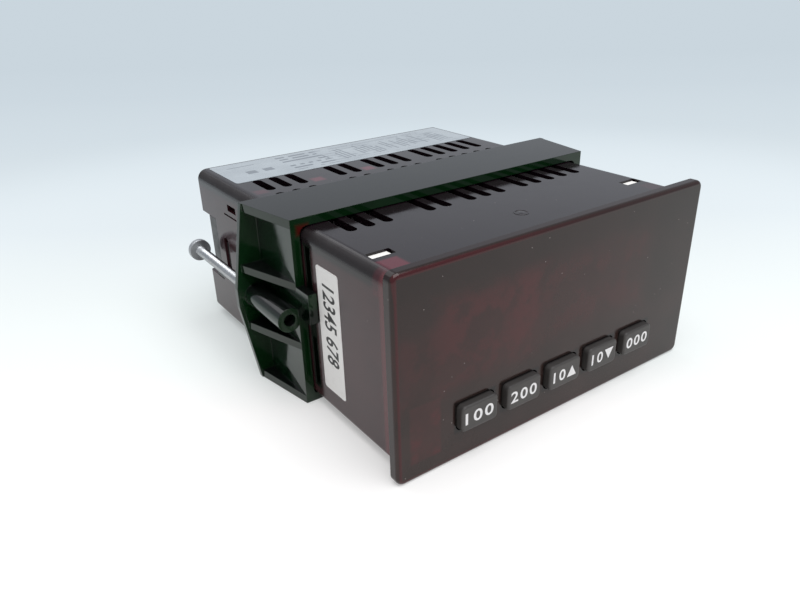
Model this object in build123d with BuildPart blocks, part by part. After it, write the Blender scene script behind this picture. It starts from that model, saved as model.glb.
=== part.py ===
"""Digital panel meter: a one-piece bezel and case, a screwed latch frame behind the panel, five rubber
keys and the electronics the case holds.

Millimetres. The origin is the centre of the panel cut-out, in the plane of the bezel's back face.
-Y looks out of the front, +Y runs into the depth of the case, +Z is up.
"""
from build123d import *
import os

os.makedirs("parts", exist_ok=True)

# bezel and case
BEZEL_W = 96.5
BEZEL_H = 49.5
BEZEL_T = 2.7
BEZEL_CORNER_R = 2.0
BEZEL_EDGE_R = 1.0
BEZEL_LIP_SIDE = 2.55
BEZEL_LIP_TOP = 2.5
LENS_T = 2.0
CASE_DEPTH = 103.2
CASE_WALL = 2.0
CASE_TOP_R = 3.0
CASE_BOTTOM_R = 1.2
CASE_REAR_R = 0.9

# vent slots, the same pattern in the top and in the bottom
VENT_W = 2.7
VENT_L = 11.4
VENT_PITCH = 4.95
VENT_GROUP_STARTS = [-37.0, -14.4, -1.45, 16.6]
VENT_GROUP_COUNTS = [3, 2, 3, 5]
VENT_EDGE_GAP = 3.0
VENT_FRONT_ROW_Y = 27.9
VENT_ROW_GAP = 3.2
VENT_LABEL_GAP = 0.1

# catch windows near the front and the white tabs in them
WINDOW_SIDE_GAP = 5.7
WINDOW_W = 6.0
WINDOW_Y = 11.5
WINDOW_L = 2.95
TAB_W = 4.8
TAB_Y_GAP = 0.1
TAB_L = 2.75
TAB_MARGIN = 0.1

# latching slots in the sides of the case
SIDE_SLOT_Y = 34.0
SIDE_SLOT_L = 2.1
SIDE_SLOT_Z = 5.0
SIDE_SLOT_TOP_GAP = 3.95

# finger recess, hook slot and small side openings at the rear
RECESS_L = 11.0
RECESS_H = 19.6
HOOK_SLOT_GAP = 4.4
HOOK_SLOT_L = 3.4
HOOK_SLOT_END = 0.2
HOOK_SLOT_H = 11.0
SIDE_NOTCH_REAR_GAP = 21.6
SIDE_NOTCH_L = 5.6
SIDE_NOTCH_TOP_GAP = 5.35
SIDE_NOTCH_H = 1.9
SIDE_GROOVE_GAP = 1.3
SIDE_GROOVE_H = 0.5
SIDE_GROOVE_L = 8.6
SIDE_GROOVE_DEPTH = 0.6

# keys and keypad mat
KEY_COUNT = 5
KEY_ROW_INSET = 9.9
KEY_SPACING = 3.05
KEY_H = 6.5
KEY_CORNER_R = 1.2
KEY_EDGE_R = 0.6
KEY_BOTTOM_MARGIN = 8.05
KEY_RISE = 1.8
KEY_GAP = 0.35
KEY_TRAVEL = 1.0
KEY_BOARD_GAP = 0.3
MAT_T = 2.0
MAT_GAP = 0.25
MAT_MARGIN = 1.6
MAT_CORNER_R = 1.0

# display
DIGIT_COUNT = 5
DIGIT_GAP = 0.2
DIGIT_T = 8.0
DIGIT_TOP_GAP = 5.55
DIGIT_KEY_GAP = 5.9
DIGIT_SETBACK = 1.0
SEGMENT_SHARE = 0.16
SEGMENT_MARGIN_SHARE = 0.25
SEGMENT_DEPTH = 0.3
BOARD_T = 1.6
CARRIER_GAP = 0.3
CARRIER_WALL = 1.4
CARRIER_RIM = 3.0
CARRIER_Y = 1.0
TAB_SINK = 0.55
BOARD_FIT = 0.2
SIDE_LAMP_W = 7.0
SIDE_LAMP_GAP = 1.35
SIDE_LAMP_EDGE_GAP = 1.9
LAMP_STEP = 1.0
LAMP_BAR_END = 1.0
LAMP_BAR_SPACING = 1.9
LAMP_BAR_INSET = 0.5

# main board and what stands on it; a place is a share of the half width and of the length of the board
RAIL_W = 1.8
RAIL_H = 1.2
RAIL_Y = 20.0
RAIL_LIFT = 1.55
MAIN_BOARD_SIDE_GAP = 1.1
MAIN_BOARD_Y_GAP = 0.3
LINK_INSET = 0.3
LINK_L = 6.0
LINK_W = 30.0
LINK_H = 6.0
LINK_PIN_INSET = 1.0
LINK_PIN_T = 2.4
LINK_PIN_Z = 4.0
LINK_PIN_REACH = 2.5
BOARD_PIECE_CHAMFER = 0.4
CAN_ROUND = 0.8
CAN_GROOVE_Z = 2.0
CAN_GROOVE_H = 1.0
CAN_GROOVE_DEPTH = 0.5
SUPPLY_CAP_PLACE = (0.704, 0.609)
SUPPLY_CAP_D = 12.5
SUPPLY_CAP_H = 20.0
FILTER_CAP_PLACE = (0.376, 0.586)
FILTER_CAP_D = 8.0
FILTER_CAP_H = 12.0
FILM_CAP_PLACE = (0.164, 0.727)
FILM_CAP_W = 8.0
FILM_CAP_L = 10.0
FILM_CAP_TOP_GAP = 8.15
PROCESSOR_PLACE = (-0.469, 0.25)
PROCESSOR_W = 14.0
PROCESSOR_H = 2.0
CONVERTER_PLACE = (-0.188, 0.515)
CONVERTER_W = 7.5
CONVERTER_L = 12.8
CONVERTER_H = 2.4
OPTION_SOCKET_W = 6.0
OPTION_SOCKET_L = 15.0
OPTION_SOCKET_H = 9.0
OPTION_SOCKET_PLACES = [(-0.704, 0.468), (-0.469, 0.468), (0.141, 0.374)]
JUMPER_COUNT = 3
JUMPER_EDGE_GAP = 4.1
JUMPER_HEADER_GAP = 4.79
JUMPER_PITCH = 5.08
JUMPER_W = 5.0
JUMPER_L = 2.5
JUMPER_H = 6.0

# transformer
CORE_PLACE = (0.610, 0.374)
CORE_W = 22.0
CORE_H = 18.0
CORE_L = 8.0
CORE_LEG = 4.0
CORE_MID_LEG = 6.0
CORE_LIFT = 1.0
WINDING_L = 15.0
WINDING_CORNER_R = 2.0

# rear cover and terminals
COVER_GAP = 0.3
COVER_T = 2.0
COVER_INSET = 2.0
ARM_T = 1.5
ARM_H = 16.0
PAD_L = 5.1
PAD_GAP = 0.2
PAD_SINK = 0.1
HOOK_L = 1.8
HOOK_GAP = 0.2
HOOK_SINK = 0.7
HOOK_SIDE_GAP = 1.8
BLANK_COUNT = 3
BLANK_SPACING = 4.0
BLANK_SIDE_GAP = 6.7
BLANK_TOP_GAP = 4.25
BLANK_H = 13.0
BLANK_DEPTH = 0.8
TERMINAL_PITCH = 5.08
TERMINAL_H = 12.0
TERMINAL_L = 14.6
TERMINAL_END = 0.6
TERMINAL_INSET = 0.4
TERMINAL_SCREW_D = 3.2
TERMINAL_SCREW_GAP = 0.05
TERMINAL_SCREW_TOP = 3.2
TERMINAL_SCREW_SINK = 1.2
TERMINAL_SCREW_SLOT_W = 0.6
TERMINAL_SCREW_SLOT_DEPTH = 0.6
TERMINAL_HOLE_DEPTH = 6.0
TERMINAL_ENTRY_W = 3.6
TERMINAL_ENTRY_H = 4.0
TERMINAL_ENTRY_Z = 3.6
TERMINAL_ENTRY_DEPTH = 8.0
CLAMP_GAP = 0.1
CLAMP_WALL = 0.5
CLAMP_L = 5.5
INPUT_POLES = 6
POWER_POLES = 2
INPUT_SIDE_GAP = 4.86
POWER_SIDE_GAP = 10.02
HEADER_L = 6.0
HEADER_DROP = 3.0

# panel latch
LATCH_Y = 37.5
LATCH_L = 20.2
LATCH_TOP_INSET = 0.15
LATCH_SIDE_INSET = 0.05
LATCH_FLARE = 3.6
LATCH_GAP = 0.2
LATCH_TOP_R = 2.0
LATCH_BOTTOM_R = 0.8
FLANGE_T = 1.5
FLANGE_REACH = 3.7
FLANGE_FLAT_H = 5.0
RIB_Z = 8.0
RIB_T = 2.0
RIB_REACH = 1.9
RIB_ROOT = 1.0
BOSS_OFFSET = 2.4
BOSS_D = 6.2
TONGUE_L = 5.9
TONGUE_LOW = 0.3
TONGUE_H = 7.7

# panel screws
SCREW_D = 3.0
SCREW_GAP = 0.05
SCREW_L = 55.5
SCREW_TIP_INSET = 2.5
SCREW_TIP_CHAMFER = 0.4
HEAD_D = 6.4
HEAD_H = 2.3
HEAD_ROUND = 0.9
RECESS_W = 0.9
RECESS_SPAN = 3.4
RECESS_DEPTH = 1.3

# labels
LABEL_T = 0.1
TOP_LABEL_REAR_GAP = 1.7
TOP_LABEL_L = 21.0
TOP_LABEL_MARGIN = 3.3
TOP_LABEL_CORNER_R = 1.0
SIDE_LABEL_Y = 21.6
SIDE_LABEL_W = 9.6
SIDE_LABEL_BOTTOM_MARGIN = 5.45
SIDE_LABEL_TOP_MARGIN = 6.75
SIDE_LABEL_CORNER_R = 0.8

# planes and lines that several pieces share
case_side = BEZEL_W / 2 - BEZEL_LIP_SIDE
case_top = BEZEL_H / 2 - BEZEL_LIP_TOP
cavity_top = case_top - CASE_WALL
cavity_side = case_side - CASE_WALL
lens_back = LENS_T - BEZEL_T
digit_front = lens_back + DIGIT_SETBACK
display_board_front = digit_front + DIGIT_T
display_board_back = display_board_front + BOARD_T
carrier_inside = cavity_side - CARRIER_GAP - CARRIER_WALL
key_w = (2 * (carrier_inside - KEY_ROW_INSET) - (KEY_COUNT - 1) * KEY_SPACING) / KEY_COUNT
key_pitch = key_w + KEY_SPACING
key_z = -BEZEL_H / 2 + KEY_BOTTOM_MARGIN + KEY_H / 2
lamp_x = carrier_inside - SIDE_LAMP_EDGE_GAP - SIDE_LAMP_W / 2
digit_pitch = 2 * (lamp_x - SIDE_LAMP_W / 2 - SIDE_LAMP_GAP) / DIGIT_COUNT
digit_w = digit_pitch - DIGIT_GAP
digit_high = cavity_top - DIGIT_TOP_GAP
digit_low = key_z + KEY_H / 2 + DIGIT_KEY_GAP
digit_h = digit_high - digit_low
digit_z = (digit_high + digit_low) / 2
lamp_bar_h = (digit_h - 2 * LAMP_BAR_END - 2 * LAMP_BAR_SPACING) / 3
digit_loop = min(digit_w, digit_h / 2)
segment_w = digit_loop * SEGMENT_SHARE
segment_margin = digit_loop * SEGMENT_MARGIN_SHARE
window_x = case_side - WINDOW_SIDE_GAP
recess_y = CASE_DEPTH - RECESS_L
hook_slot_y = recess_y - HOOK_SLOT_GAP - HOOK_SLOT_L
side_slot_h = case_top - SIDE_SLOT_TOP_GAP - SIDE_SLOT_Z
side_notch_y = CASE_DEPTH - SIDE_NOTCH_REAR_GAP - SIDE_NOTCH_L
side_notch_z = case_top - SIDE_NOTCH_TOP_GAP - SIDE_NOTCH_H
side_groove_z = side_notch_z - SIDE_GROOVE_GAP - SIDE_GROOVE_H
carrier_side = cavity_side - CARRIER_GAP
carrier_top = cavity_top - CARRIER_GAP
carrier_back = WINDOW_Y + TAB_Y_GAP + TAB_L + TAB_MARGIN
main_board_bottom = -cavity_top + RAIL_LIFT + RAIL_H
main_board_top = main_board_bottom + BOARD_T
main_board_front = carrier_back + MAIN_BOARD_Y_GAP
main_board_w = 2 * (cavity_side - MAIN_BOARD_SIDE_GAP)
link_y = main_board_front + LINK_INSET
cover_back = CASE_DEPTH - COVER_INSET
cover_front = cover_back - COVER_T
latch_back = LATCH_Y + LATCH_L
latch_inner_top = case_top + LATCH_GAP
latch_inner_side = case_side + LATCH_GAP
latch_outer_side = BEZEL_W / 2 - LATCH_SIDE_INSET
latch_outer_top = BEZEL_H / 2 - LATCH_TOP_INSET
latch_rear_side = latch_outer_side + LATCH_FLARE
flange_side = latch_rear_side + FLANGE_REACH
rib_side = latch_rear_side + RIB_REACH
boss_x = latch_outer_side + BOSS_OFFSET
screw_tip_y = LATCH_Y + SCREW_TIP_INSET
key_xs = [(i - (KEY_COUNT - 1) / 2) * key_pitch for i in range(KEY_COUNT)]
digit_xs = [(i - (DIGIT_COUNT - 1) / 2) * digit_pitch for i in range(DIGIT_COUNT)]
vent_xs = []
for start, count in zip(VENT_GROUP_STARTS, VENT_GROUP_COUNTS):
    for i in range(count):
        if abs(start + i * VENT_PITCH) < cavity_side - VENT_EDGE_GAP - VENT_W / 2:
            vent_xs.append(start + i * VENT_PITCH)
top_label_y = CASE_DEPTH - TOP_LABEL_REAR_GAP - TOP_LABEL_L
rear_vents_y = top_label_y - VENT_LABEL_GAP - VENT_L
vent_row_fronts = [VENT_FRONT_ROW_Y, rear_vents_y - VENT_ROW_GAP - VENT_L, rear_vents_y]
terminal_back = CASE_DEPTH - TERMINAL_INSET
terminal_front = terminal_back - TERMINAL_L
input_w = INPUT_POLES * TERMINAL_PITCH + 2 * TERMINAL_END
power_w = POWER_POLES * TERMINAL_PITCH + 2 * TERMINAL_END
input_x = -(cavity_side - INPUT_SIDE_GAP - input_w / 2)
power_x = cavity_side - POWER_SIDE_GAP - power_w / 2
terminal_xs = []
for i in range(INPUT_POLES):
    terminal_xs.append(input_x + (i - (INPUT_POLES - 1) / 2) * TERMINAL_PITCH)
for i in range(POWER_POLES):
    terminal_xs.append(power_x + (i - (POWER_POLES - 1) / 2) * TERMINAL_PITCH)
terminal_screw_z = main_board_top + TERMINAL_H - TERMINAL_SCREW_TOP
terminal_entry_z = main_board_top + TERMINAL_ENTRY_Z


def facing_back(y):
    """Plane square to the depth at y, with local x and y along world X and Z."""
    return Plane.XZ.offset(-y)


# bezel, lens and case in one moulding
with BuildPart() as bezel_case:
    with BuildSketch(facing_back(-BEZEL_T)):
        RectangleRounded(BEZEL_W, BEZEL_H, BEZEL_CORNER_R)
    extrude(amount=-BEZEL_T)
    fillet(bezel_case.faces().sort_by(Axis.Y)[0].edges(), BEZEL_EDGE_R)
    with BuildSketch(facing_back(0)) as case_outline:
        Rectangle(2 * case_side, 2 * case_top)
        fillet(case_outline.vertices().group_by(Axis.Y)[-1], CASE_TOP_R)
        fillet(case_outline.vertices().group_by(Axis.Y)[0], CASE_BOTTOM_R)
    extrude(amount=-CASE_DEPTH)
    fillet(bezel_case.faces().sort_by(Axis.Y)[-1].edges(), CASE_REAR_R)
    with BuildSketch(facing_back(lens_back)) as cavity_outline:
        Rectangle(2 * cavity_side, 2 * cavity_top)
        fillet(cavity_outline.vertices().group_by(Axis.Y)[-1], CASE_TOP_R - CASE_WALL)
    extrude(amount=-(CASE_DEPTH - lens_back), mode=Mode.SUBTRACT)
    with BuildSketch(facing_back(-BEZEL_T)):
        with Locations(*[(x, key_z) for x in key_xs]):
            RectangleRounded(key_w + 2 * KEY_GAP, KEY_H + 2 * KEY_GAP, KEY_CORNER_R + KEY_GAP)
    extrude(amount=-LENS_T, mode=Mode.SUBTRACT)
    for level in (cavity_top, -case_top):
        with BuildSketch(Plane.XY.offset(level)):
            for front in vent_row_fronts:
                with Locations(*[(x, front + VENT_L / 2) for x in vent_xs]):
                    SlotOverall(VENT_L, VENT_W, rotation=90)
            with Locations((-window_x, WINDOW_Y + WINDOW_L / 2), (window_x, WINDOW_Y + WINDOW_L / 2)):
                Rectangle(WINDOW_W, WINDOW_L)
        extrude(amount=CASE_WALL, mode=Mode.SUBTRACT)
    slot_y = SIDE_SLOT_Y + SIDE_SLOT_L / 2
    slot_z = SIDE_SLOT_Z + side_slot_h / 2
    for level in (-case_side, cavity_side):
        with BuildSketch(Plane.YZ.offset(level)):
            with Locations((slot_y, slot_z), (slot_y, -slot_z)):
                Rectangle(SIDE_SLOT_L, side_slot_h)
            with Locations((hook_slot_y + HOOK_SLOT_L / 2, 0)):
                RectangleRounded(HOOK_SLOT_L, HOOK_SLOT_H, HOOK_SLOT_L / 2 - HOOK_SLOT_END)
            with Locations((recess_y + RECESS_L / 2, 0)):
                Rectangle(RECESS_L, RECESS_H)
            with Locations((side_notch_y + SIDE_NOTCH_L / 2, side_notch_z + SIDE_NOTCH_H / 2)):
                Rectangle(SIDE_NOTCH_L, SIDE_NOTCH_H)
        extrude(amount=CASE_WALL, mode=Mode.SUBTRACT)
    for level in (-case_side, case_side - SIDE_GROOVE_DEPTH):
        with BuildSketch(Plane.YZ.offset(level)):
            with Locations((side_notch_y + SIDE_GROOVE_L / 2, side_groove_z + SIDE_GROOVE_H / 2)):
                Rectangle(SIDE_GROOVE_L, SIDE_GROOVE_H)
        extrude(amount=SIDE_GROOVE_DEPTH, mode=Mode.SUBTRACT)
    with BuildSketch(facing_back(RAIL_Y)):
        for side in (-1, 1):
            with Locations((side * (cavity_side - RAIL_W / 2), main_board_bottom - RAIL_H / 2)):
                Rectangle(RAIL_W, RAIL_H)
    extrude(amount=-(recess_y - RAIL_Y))

# latch frame that clamps the panel against the back of the bezel
with BuildPart() as panel_latch:
    with BuildSketch(Plane.XY.offset(-latch_outer_top)):
        with BuildLine():
            Polyline(
                (-latch_outer_side, LATCH_Y),
                (latch_outer_side, LATCH_Y),
                (latch_rear_side, latch_back),
                (-latch_rear_side, latch_back),
                close=True,
            )
        make_face()
    extrude(amount=2 * latch_outer_top)
    with BuildSketch(Plane.XY.offset(-latch_inner_top)):
        for side in (-1, 1):
            with Locations((side * (latch_outer_side + LATCH_FLARE), LATCH_Y + (LATCH_L - FLANGE_T) / 2)):
                Rectangle(2 * LATCH_FLARE, LATCH_L - FLANGE_T)
    extrude(amount=2 * latch_inner_top, mode=Mode.SUBTRACT)
    with BuildSketch(facing_back(latch_back - FLANGE_T)):
        with BuildLine():
            Polyline(
                (-latch_rear_side, -latch_outer_top),
                (latch_rear_side, -latch_outer_top),
                (flange_side, -FLANGE_FLAT_H / 2),
                (flange_side, FLANGE_FLAT_H / 2),
                (latch_rear_side, latch_outer_top),
                (-latch_rear_side, latch_outer_top),
                (-flange_side, FLANGE_FLAT_H / 2),
                (-flange_side, -FLANGE_FLAT_H / 2),
                close=True,
            )
        make_face()
    extrude(amount=-FLANGE_T)
    for level in (-RIB_Z - RIB_T / 2, RIB_Z - RIB_T / 2):
        with BuildSketch(Plane.XY.offset(level)):
            for side in (-1, 1):
                with BuildLine():
                    Polyline(
                        (side * (latch_outer_side - RIB_ROOT), LATCH_Y),
                        (side * latch_outer_side, LATCH_Y),
                        (side * rib_side, latch_back - FLANGE_T),
                        (side * (latch_outer_side - RIB_ROOT), latch_back - FLANGE_T),
                        close=True,
                    )
                make_face()
        extrude(amount=RIB_T)
    with BuildSketch(facing_back(LATCH_Y)):
        with Locations((-boss_x, 0), (boss_x, 0)):
            Circle(BOSS_D / 2)
    extrude(amount=-LATCH_L)
    with BuildSketch(facing_back(LATCH_Y)):
        tongue_x = (latch_outer_side + latch_inner_side) / 2
        tongue_z = TONGUE_LOW + TONGUE_H / 2
        with Locations((-tongue_x, tongue_z), (tongue_x, -tongue_z)):
            Rectangle(latch_outer_side - latch_inner_side, TONGUE_H)
    extrude(amount=TONGUE_L)
    with BuildSketch(facing_back(LATCH_Y)) as opening_outline:
        Rectangle(2 * latch_inner_side, 2 * latch_inner_top)
        fillet(opening_outline.vertices().group_by(Axis.Y)[-1], LATCH_TOP_R)
        fillet(opening_outline.vertices().group_by(Axis.Y)[0], LATCH_BOTTOM_R)
    extrude(amount=-LATCH_L, mode=Mode.SUBTRACT)
    with BuildSketch(facing_back(LATCH_Y)):
        with Locations((-boss_x, 0), (boss_x, 0)):
            Circle(SCREW_D / 2 + SCREW_GAP)
    extrude(amount=-LATCH_L, mode=Mode.SUBTRACT)


def panel_screw(x):
    """Long machine screw with a low pan head and a cross recess, its head towards the rear."""
    with BuildPart() as screw:
        with BuildSketch(facing_back(screw_tip_y)):
            with Locations((x, 0)):
                Circle(SCREW_D / 2)
        extrude(amount=-SCREW_L)
        chamfer(screw.edges().group_by(Axis.Y)[0], SCREW_TIP_CHAMFER)
        with BuildSketch(facing_back(screw_tip_y + SCREW_L)):
            with Locations((x, 0)):
                Circle(HEAD_D / 2)
        extrude(amount=-HEAD_H)
        fillet(screw.edges().group_by(Axis.Y)[-1], HEAD_ROUND)
        with BuildSketch(facing_back(screw_tip_y + SCREW_L + HEAD_H)):
            with Locations((x, 0)):
                Rectangle(RECESS_SPAN, RECESS_W)
                Rectangle(RECESS_W, RECESS_SPAN)
        extrude(amount=RECESS_DEPTH, mode=Mode.SUBTRACT)
    return screw.part


# keypad
mat_w = (KEY_COUNT - 1) * key_pitch + key_w + 2 * MAT_MARGIN
mat_h = KEY_H + 2 * MAT_MARGIN
with BuildPart() as keypad_mat:
    with BuildSketch(facing_back(display_board_front - MAT_T)):
        with Locations((0, key_z)):
            RectangleRounded(mat_w, mat_h, MAT_CORNER_R)
        with Locations(*[(x, key_z) for x in key_xs]):
            RectangleRounded(
                key_w + 2 * MAT_GAP, KEY_H + 2 * MAT_GAP, KEY_CORNER_R + MAT_GAP, mode=Mode.SUBTRACT
            )
    extrude(amount=-MAT_T)


def key_top(x):
    """Rubber key from its raised face down to just above the board."""
    key_front = -BEZEL_T - KEY_RISE
    key_back = display_board_front - KEY_TRAVEL - KEY_BOARD_GAP
    with BuildPart() as key:
        with BuildSketch(facing_back(key_front)):
            with Locations((x, key_z)):
                RectangleRounded(key_w, KEY_H, KEY_CORNER_R)
        extrude(amount=-(key_back - key_front))
        fillet(key.faces().sort_by(Axis.Y)[0].edges(), KEY_EDGE_R)
    return key.part


# display
with BuildPart() as display_carrier:
    with BuildSketch(facing_back(CARRIER_Y)):
        Rectangle(2 * carrier_side, 2 * carrier_top)
        Rectangle(
            2 * (carrier_side - CARRIER_WALL), 2 * (carrier_top - CARRIER_WALL), mode=Mode.SUBTRACT
        )
    extrude(amount=-(carrier_back - CARRIER_Y))
    with BuildSketch(facing_back(display_board_back)):
        Rectangle(2 * carrier_side, 2 * carrier_top)
        Rectangle(
            2 * (carrier_side - CARRIER_WALL - CARRIER_RIM),
            2 * (carrier_top - CARRIER_WALL - CARRIER_RIM),
            mode=Mode.SUBTRACT,
        )
    extrude(amount=-CARRIER_WALL)
    tab_l = case_top - TAB_SINK - carrier_top + CARRIER_WALL / 2
    with BuildSketch(Plane.XY.offset(-case_top + TAB_SINK)):
        tab_y = WINDOW_Y + TAB_Y_GAP + TAB_L / 2
        with Locations((-window_x, tab_y), (window_x, tab_y)):
            Rectangle(TAB_W, TAB_L)
    extrude(amount=tab_l)
    with BuildSketch(Plane.XY.offset(case_top - TAB_SINK)):
        with Locations((-window_x, tab_y), (window_x, tab_y)):
            Rectangle(TAB_W, TAB_L)
    extrude(amount=-tab_l)

board_side = carrier_side - CARRIER_WALL - BOARD_FIT
board_top = carrier_top - CARRIER_WALL - BOARD_FIT
with BuildPart() as display_board:
    with BuildSketch(facing_back(display_board_front)):
        Rectangle(2 * board_side, 2 * board_top)
    extrude(amount=-BOARD_T)


def digit_module(x):
    """Block of one seven-segment digit on the display board, its bars sunk in the face."""
    bar_w = digit_w - 2 * segment_margin - segment_w
    bar_h = (digit_h - 2 * segment_margin - segment_w) / 2
    gap = segment_w / 4
    with BuildPart() as digit:
        with BuildSketch(facing_back(digit_front)):
            with Locations((x, digit_z)):
                Rectangle(digit_w, digit_h)
        extrude(amount=-DIGIT_T)
        with BuildSketch(facing_back(digit_front + SEGMENT_DEPTH)):
            for row in (-1, 0, 1):
                with Locations((x, digit_z + row * bar_h)):
                    SlotOverall(bar_w - 2 * gap, segment_w)
            for side in (-1, 1):
                for row in (-0.5, 0.5):
                    with Locations((x + side * bar_w / 2, digit_z + row * bar_h)):
                        SlotOverall(bar_h - segment_w - 2 * gap, segment_w, rotation=90)
        extrude(amount=SEGMENT_DEPTH, mode=Mode.SUBTRACT)
    return digit.part


def lamp_block(x):
    """Clear block beside the digits, with three steps on its face."""
    with BuildPart() as lamp:
        with BuildSketch(facing_back(digit_front + LAMP_STEP)):
            with Locations((x, digit_z)):
                Rectangle(SIDE_LAMP_W, digit_h)
        extrude(amount=-(DIGIT_T - LAMP_STEP))
        with BuildSketch(facing_back(digit_front + LAMP_STEP)):
            for row in (-1, 0, 1):
                with Locations((x, digit_z + row * (lamp_bar_h + LAMP_BAR_SPACING))):
                    Rectangle(SIDE_LAMP_W - 2 * LAMP_BAR_INSET, lamp_bar_h)
        extrude(amount=LAMP_STEP)
    return lamp.part


# main board, standing on the side rails of the case
with BuildPart() as main_board:
    with BuildSketch(Plane.XY.offset(main_board_bottom)):
        with Locations((0, (main_board_front + cover_front) / 2)):
            Rectangle(main_board_w, cover_front - main_board_front)
    extrude(amount=BOARD_T)

with BuildPart() as board_link:
    with BuildSketch(Plane.XY.offset(main_board_top)):
        with Locations((0, link_y + LINK_L / 2)):
            Rectangle(LINK_W, LINK_L)
    extrude(amount=LINK_H)
    with BuildSketch(facing_back(display_board_back)):
        with Locations((0, main_board_top + LINK_PIN_Z)):
            Rectangle(LINK_W - 2 * LINK_PIN_INSET, LINK_PIN_T)
    extrude(amount=-(link_y + LINK_PIN_REACH - display_board_back))


def on_board(place):
    """Point on the main board, from its shares of the board's half width and length."""
    return place[0] * main_board_w / 2, main_board_front + place[1] * (cover_front - main_board_front)


def box_on_board(place, w, l, h):
    """Box-shaped piece standing on the main board, w along X, l along Y, h high."""
    x, y = on_board(place)
    with BuildPart() as piece:
        with BuildSketch(Plane.XY.offset(main_board_top)):
            with Locations((x, y)):
                Rectangle(w, l)
        extrude(amount=h)
        chamfer(piece.faces().sort_by(Axis.Z)[-1].edges(), BOARD_PIECE_CHAMFER)
    return piece.part


def can_capacitor(place, d, h):
    """Upright can with a rolled groove near its foot."""
    x, y = on_board(place)
    with BuildPart() as can:
        with BuildSketch(Plane.XY.offset(main_board_top)):
            with Locations((x, y)):
                Circle(d / 2)
        extrude(amount=h)
        fillet(can.edges().group_by(Axis.Z)[-1], CAN_ROUND)
        with BuildSketch(Plane.XY.offset(main_board_top + CAN_GROOVE_Z)):
            with Locations((x, y)):
                Circle(d / 2)
                Circle(d / 2 - CAN_GROOVE_DEPTH, mode=Mode.SUBTRACT)
        extrude(amount=CAN_GROOVE_H, mode=Mode.SUBTRACT)
    return can.part


film_cap_h = cavity_top - FILM_CAP_TOP_GAP - main_board_top


def option_socket(place):
    """Socket on the main board for an option card."""
    return box_on_board(place, OPTION_SOCKET_W, OPTION_SOCKET_L, OPTION_SOCKET_H)


# transformer, its winding and the range jumpers
core_window = (CORE_W - 2 * CORE_LEG - CORE_MID_LEG) / 2
core_x, core_y = on_board(CORE_PLACE)
core_z = main_board_top + CORE_LIFT + CORE_H / 2
with BuildPart() as transformer_core:
    with BuildSketch(facing_back(core_y - CORE_L / 2)):
        with Locations((core_x, core_z)):
            Rectangle(CORE_W, CORE_H)
        for side in (-1, 1):
            with Locations((core_x + side * (CORE_MID_LEG + core_window) / 2, core_z)):
                Rectangle(core_window, CORE_H - 2 * CORE_LEG, mode=Mode.SUBTRACT)
    extrude(amount=-CORE_L)

with BuildPart() as transformer_winding:
    with BuildSketch(Plane.XY.offset(core_z - CORE_H / 2 + CORE_LEG)):
        with Locations((core_x, core_y)):
            RectangleRounded(CORE_MID_LEG + 2 * core_window, WINDING_L, WINDING_CORNER_R)
            Rectangle(CORE_MID_LEG, CORE_L, mode=Mode.SUBTRACT)
    extrude(amount=CORE_H - 2 * CORE_LEG)
    with BuildSketch(Plane.XY.offset(main_board_top)):
        for side in (-1, 1):
            with Locations((core_x, core_y + side * (CORE_L + (WINDING_L - CORE_L) / 2) / 2)):
                Rectangle(CORE_MID_LEG + 2 * core_window, (WINDING_L - CORE_L) / 2)
    extrude(amount=core_z - CORE_H / 2 + CORE_LEG - main_board_top)

jumper_x = -main_board_w / 2 + JUMPER_EDGE_GAP + JUMPER_W / 2
last_jumper_y = terminal_front - HEADER_L - JUMPER_HEADER_GAP - JUMPER_L / 2
with BuildPart() as range_jumpers:
    with BuildSketch(Plane.XY.offset(main_board_top)):
        with Locations(*[(jumper_x, last_jumper_y - i * JUMPER_PITCH) for i in range(JUMPER_COUNT)]):
            Rectangle(JUMPER_W, JUMPER_L)
    extrude(amount=JUMPER_H)

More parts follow.
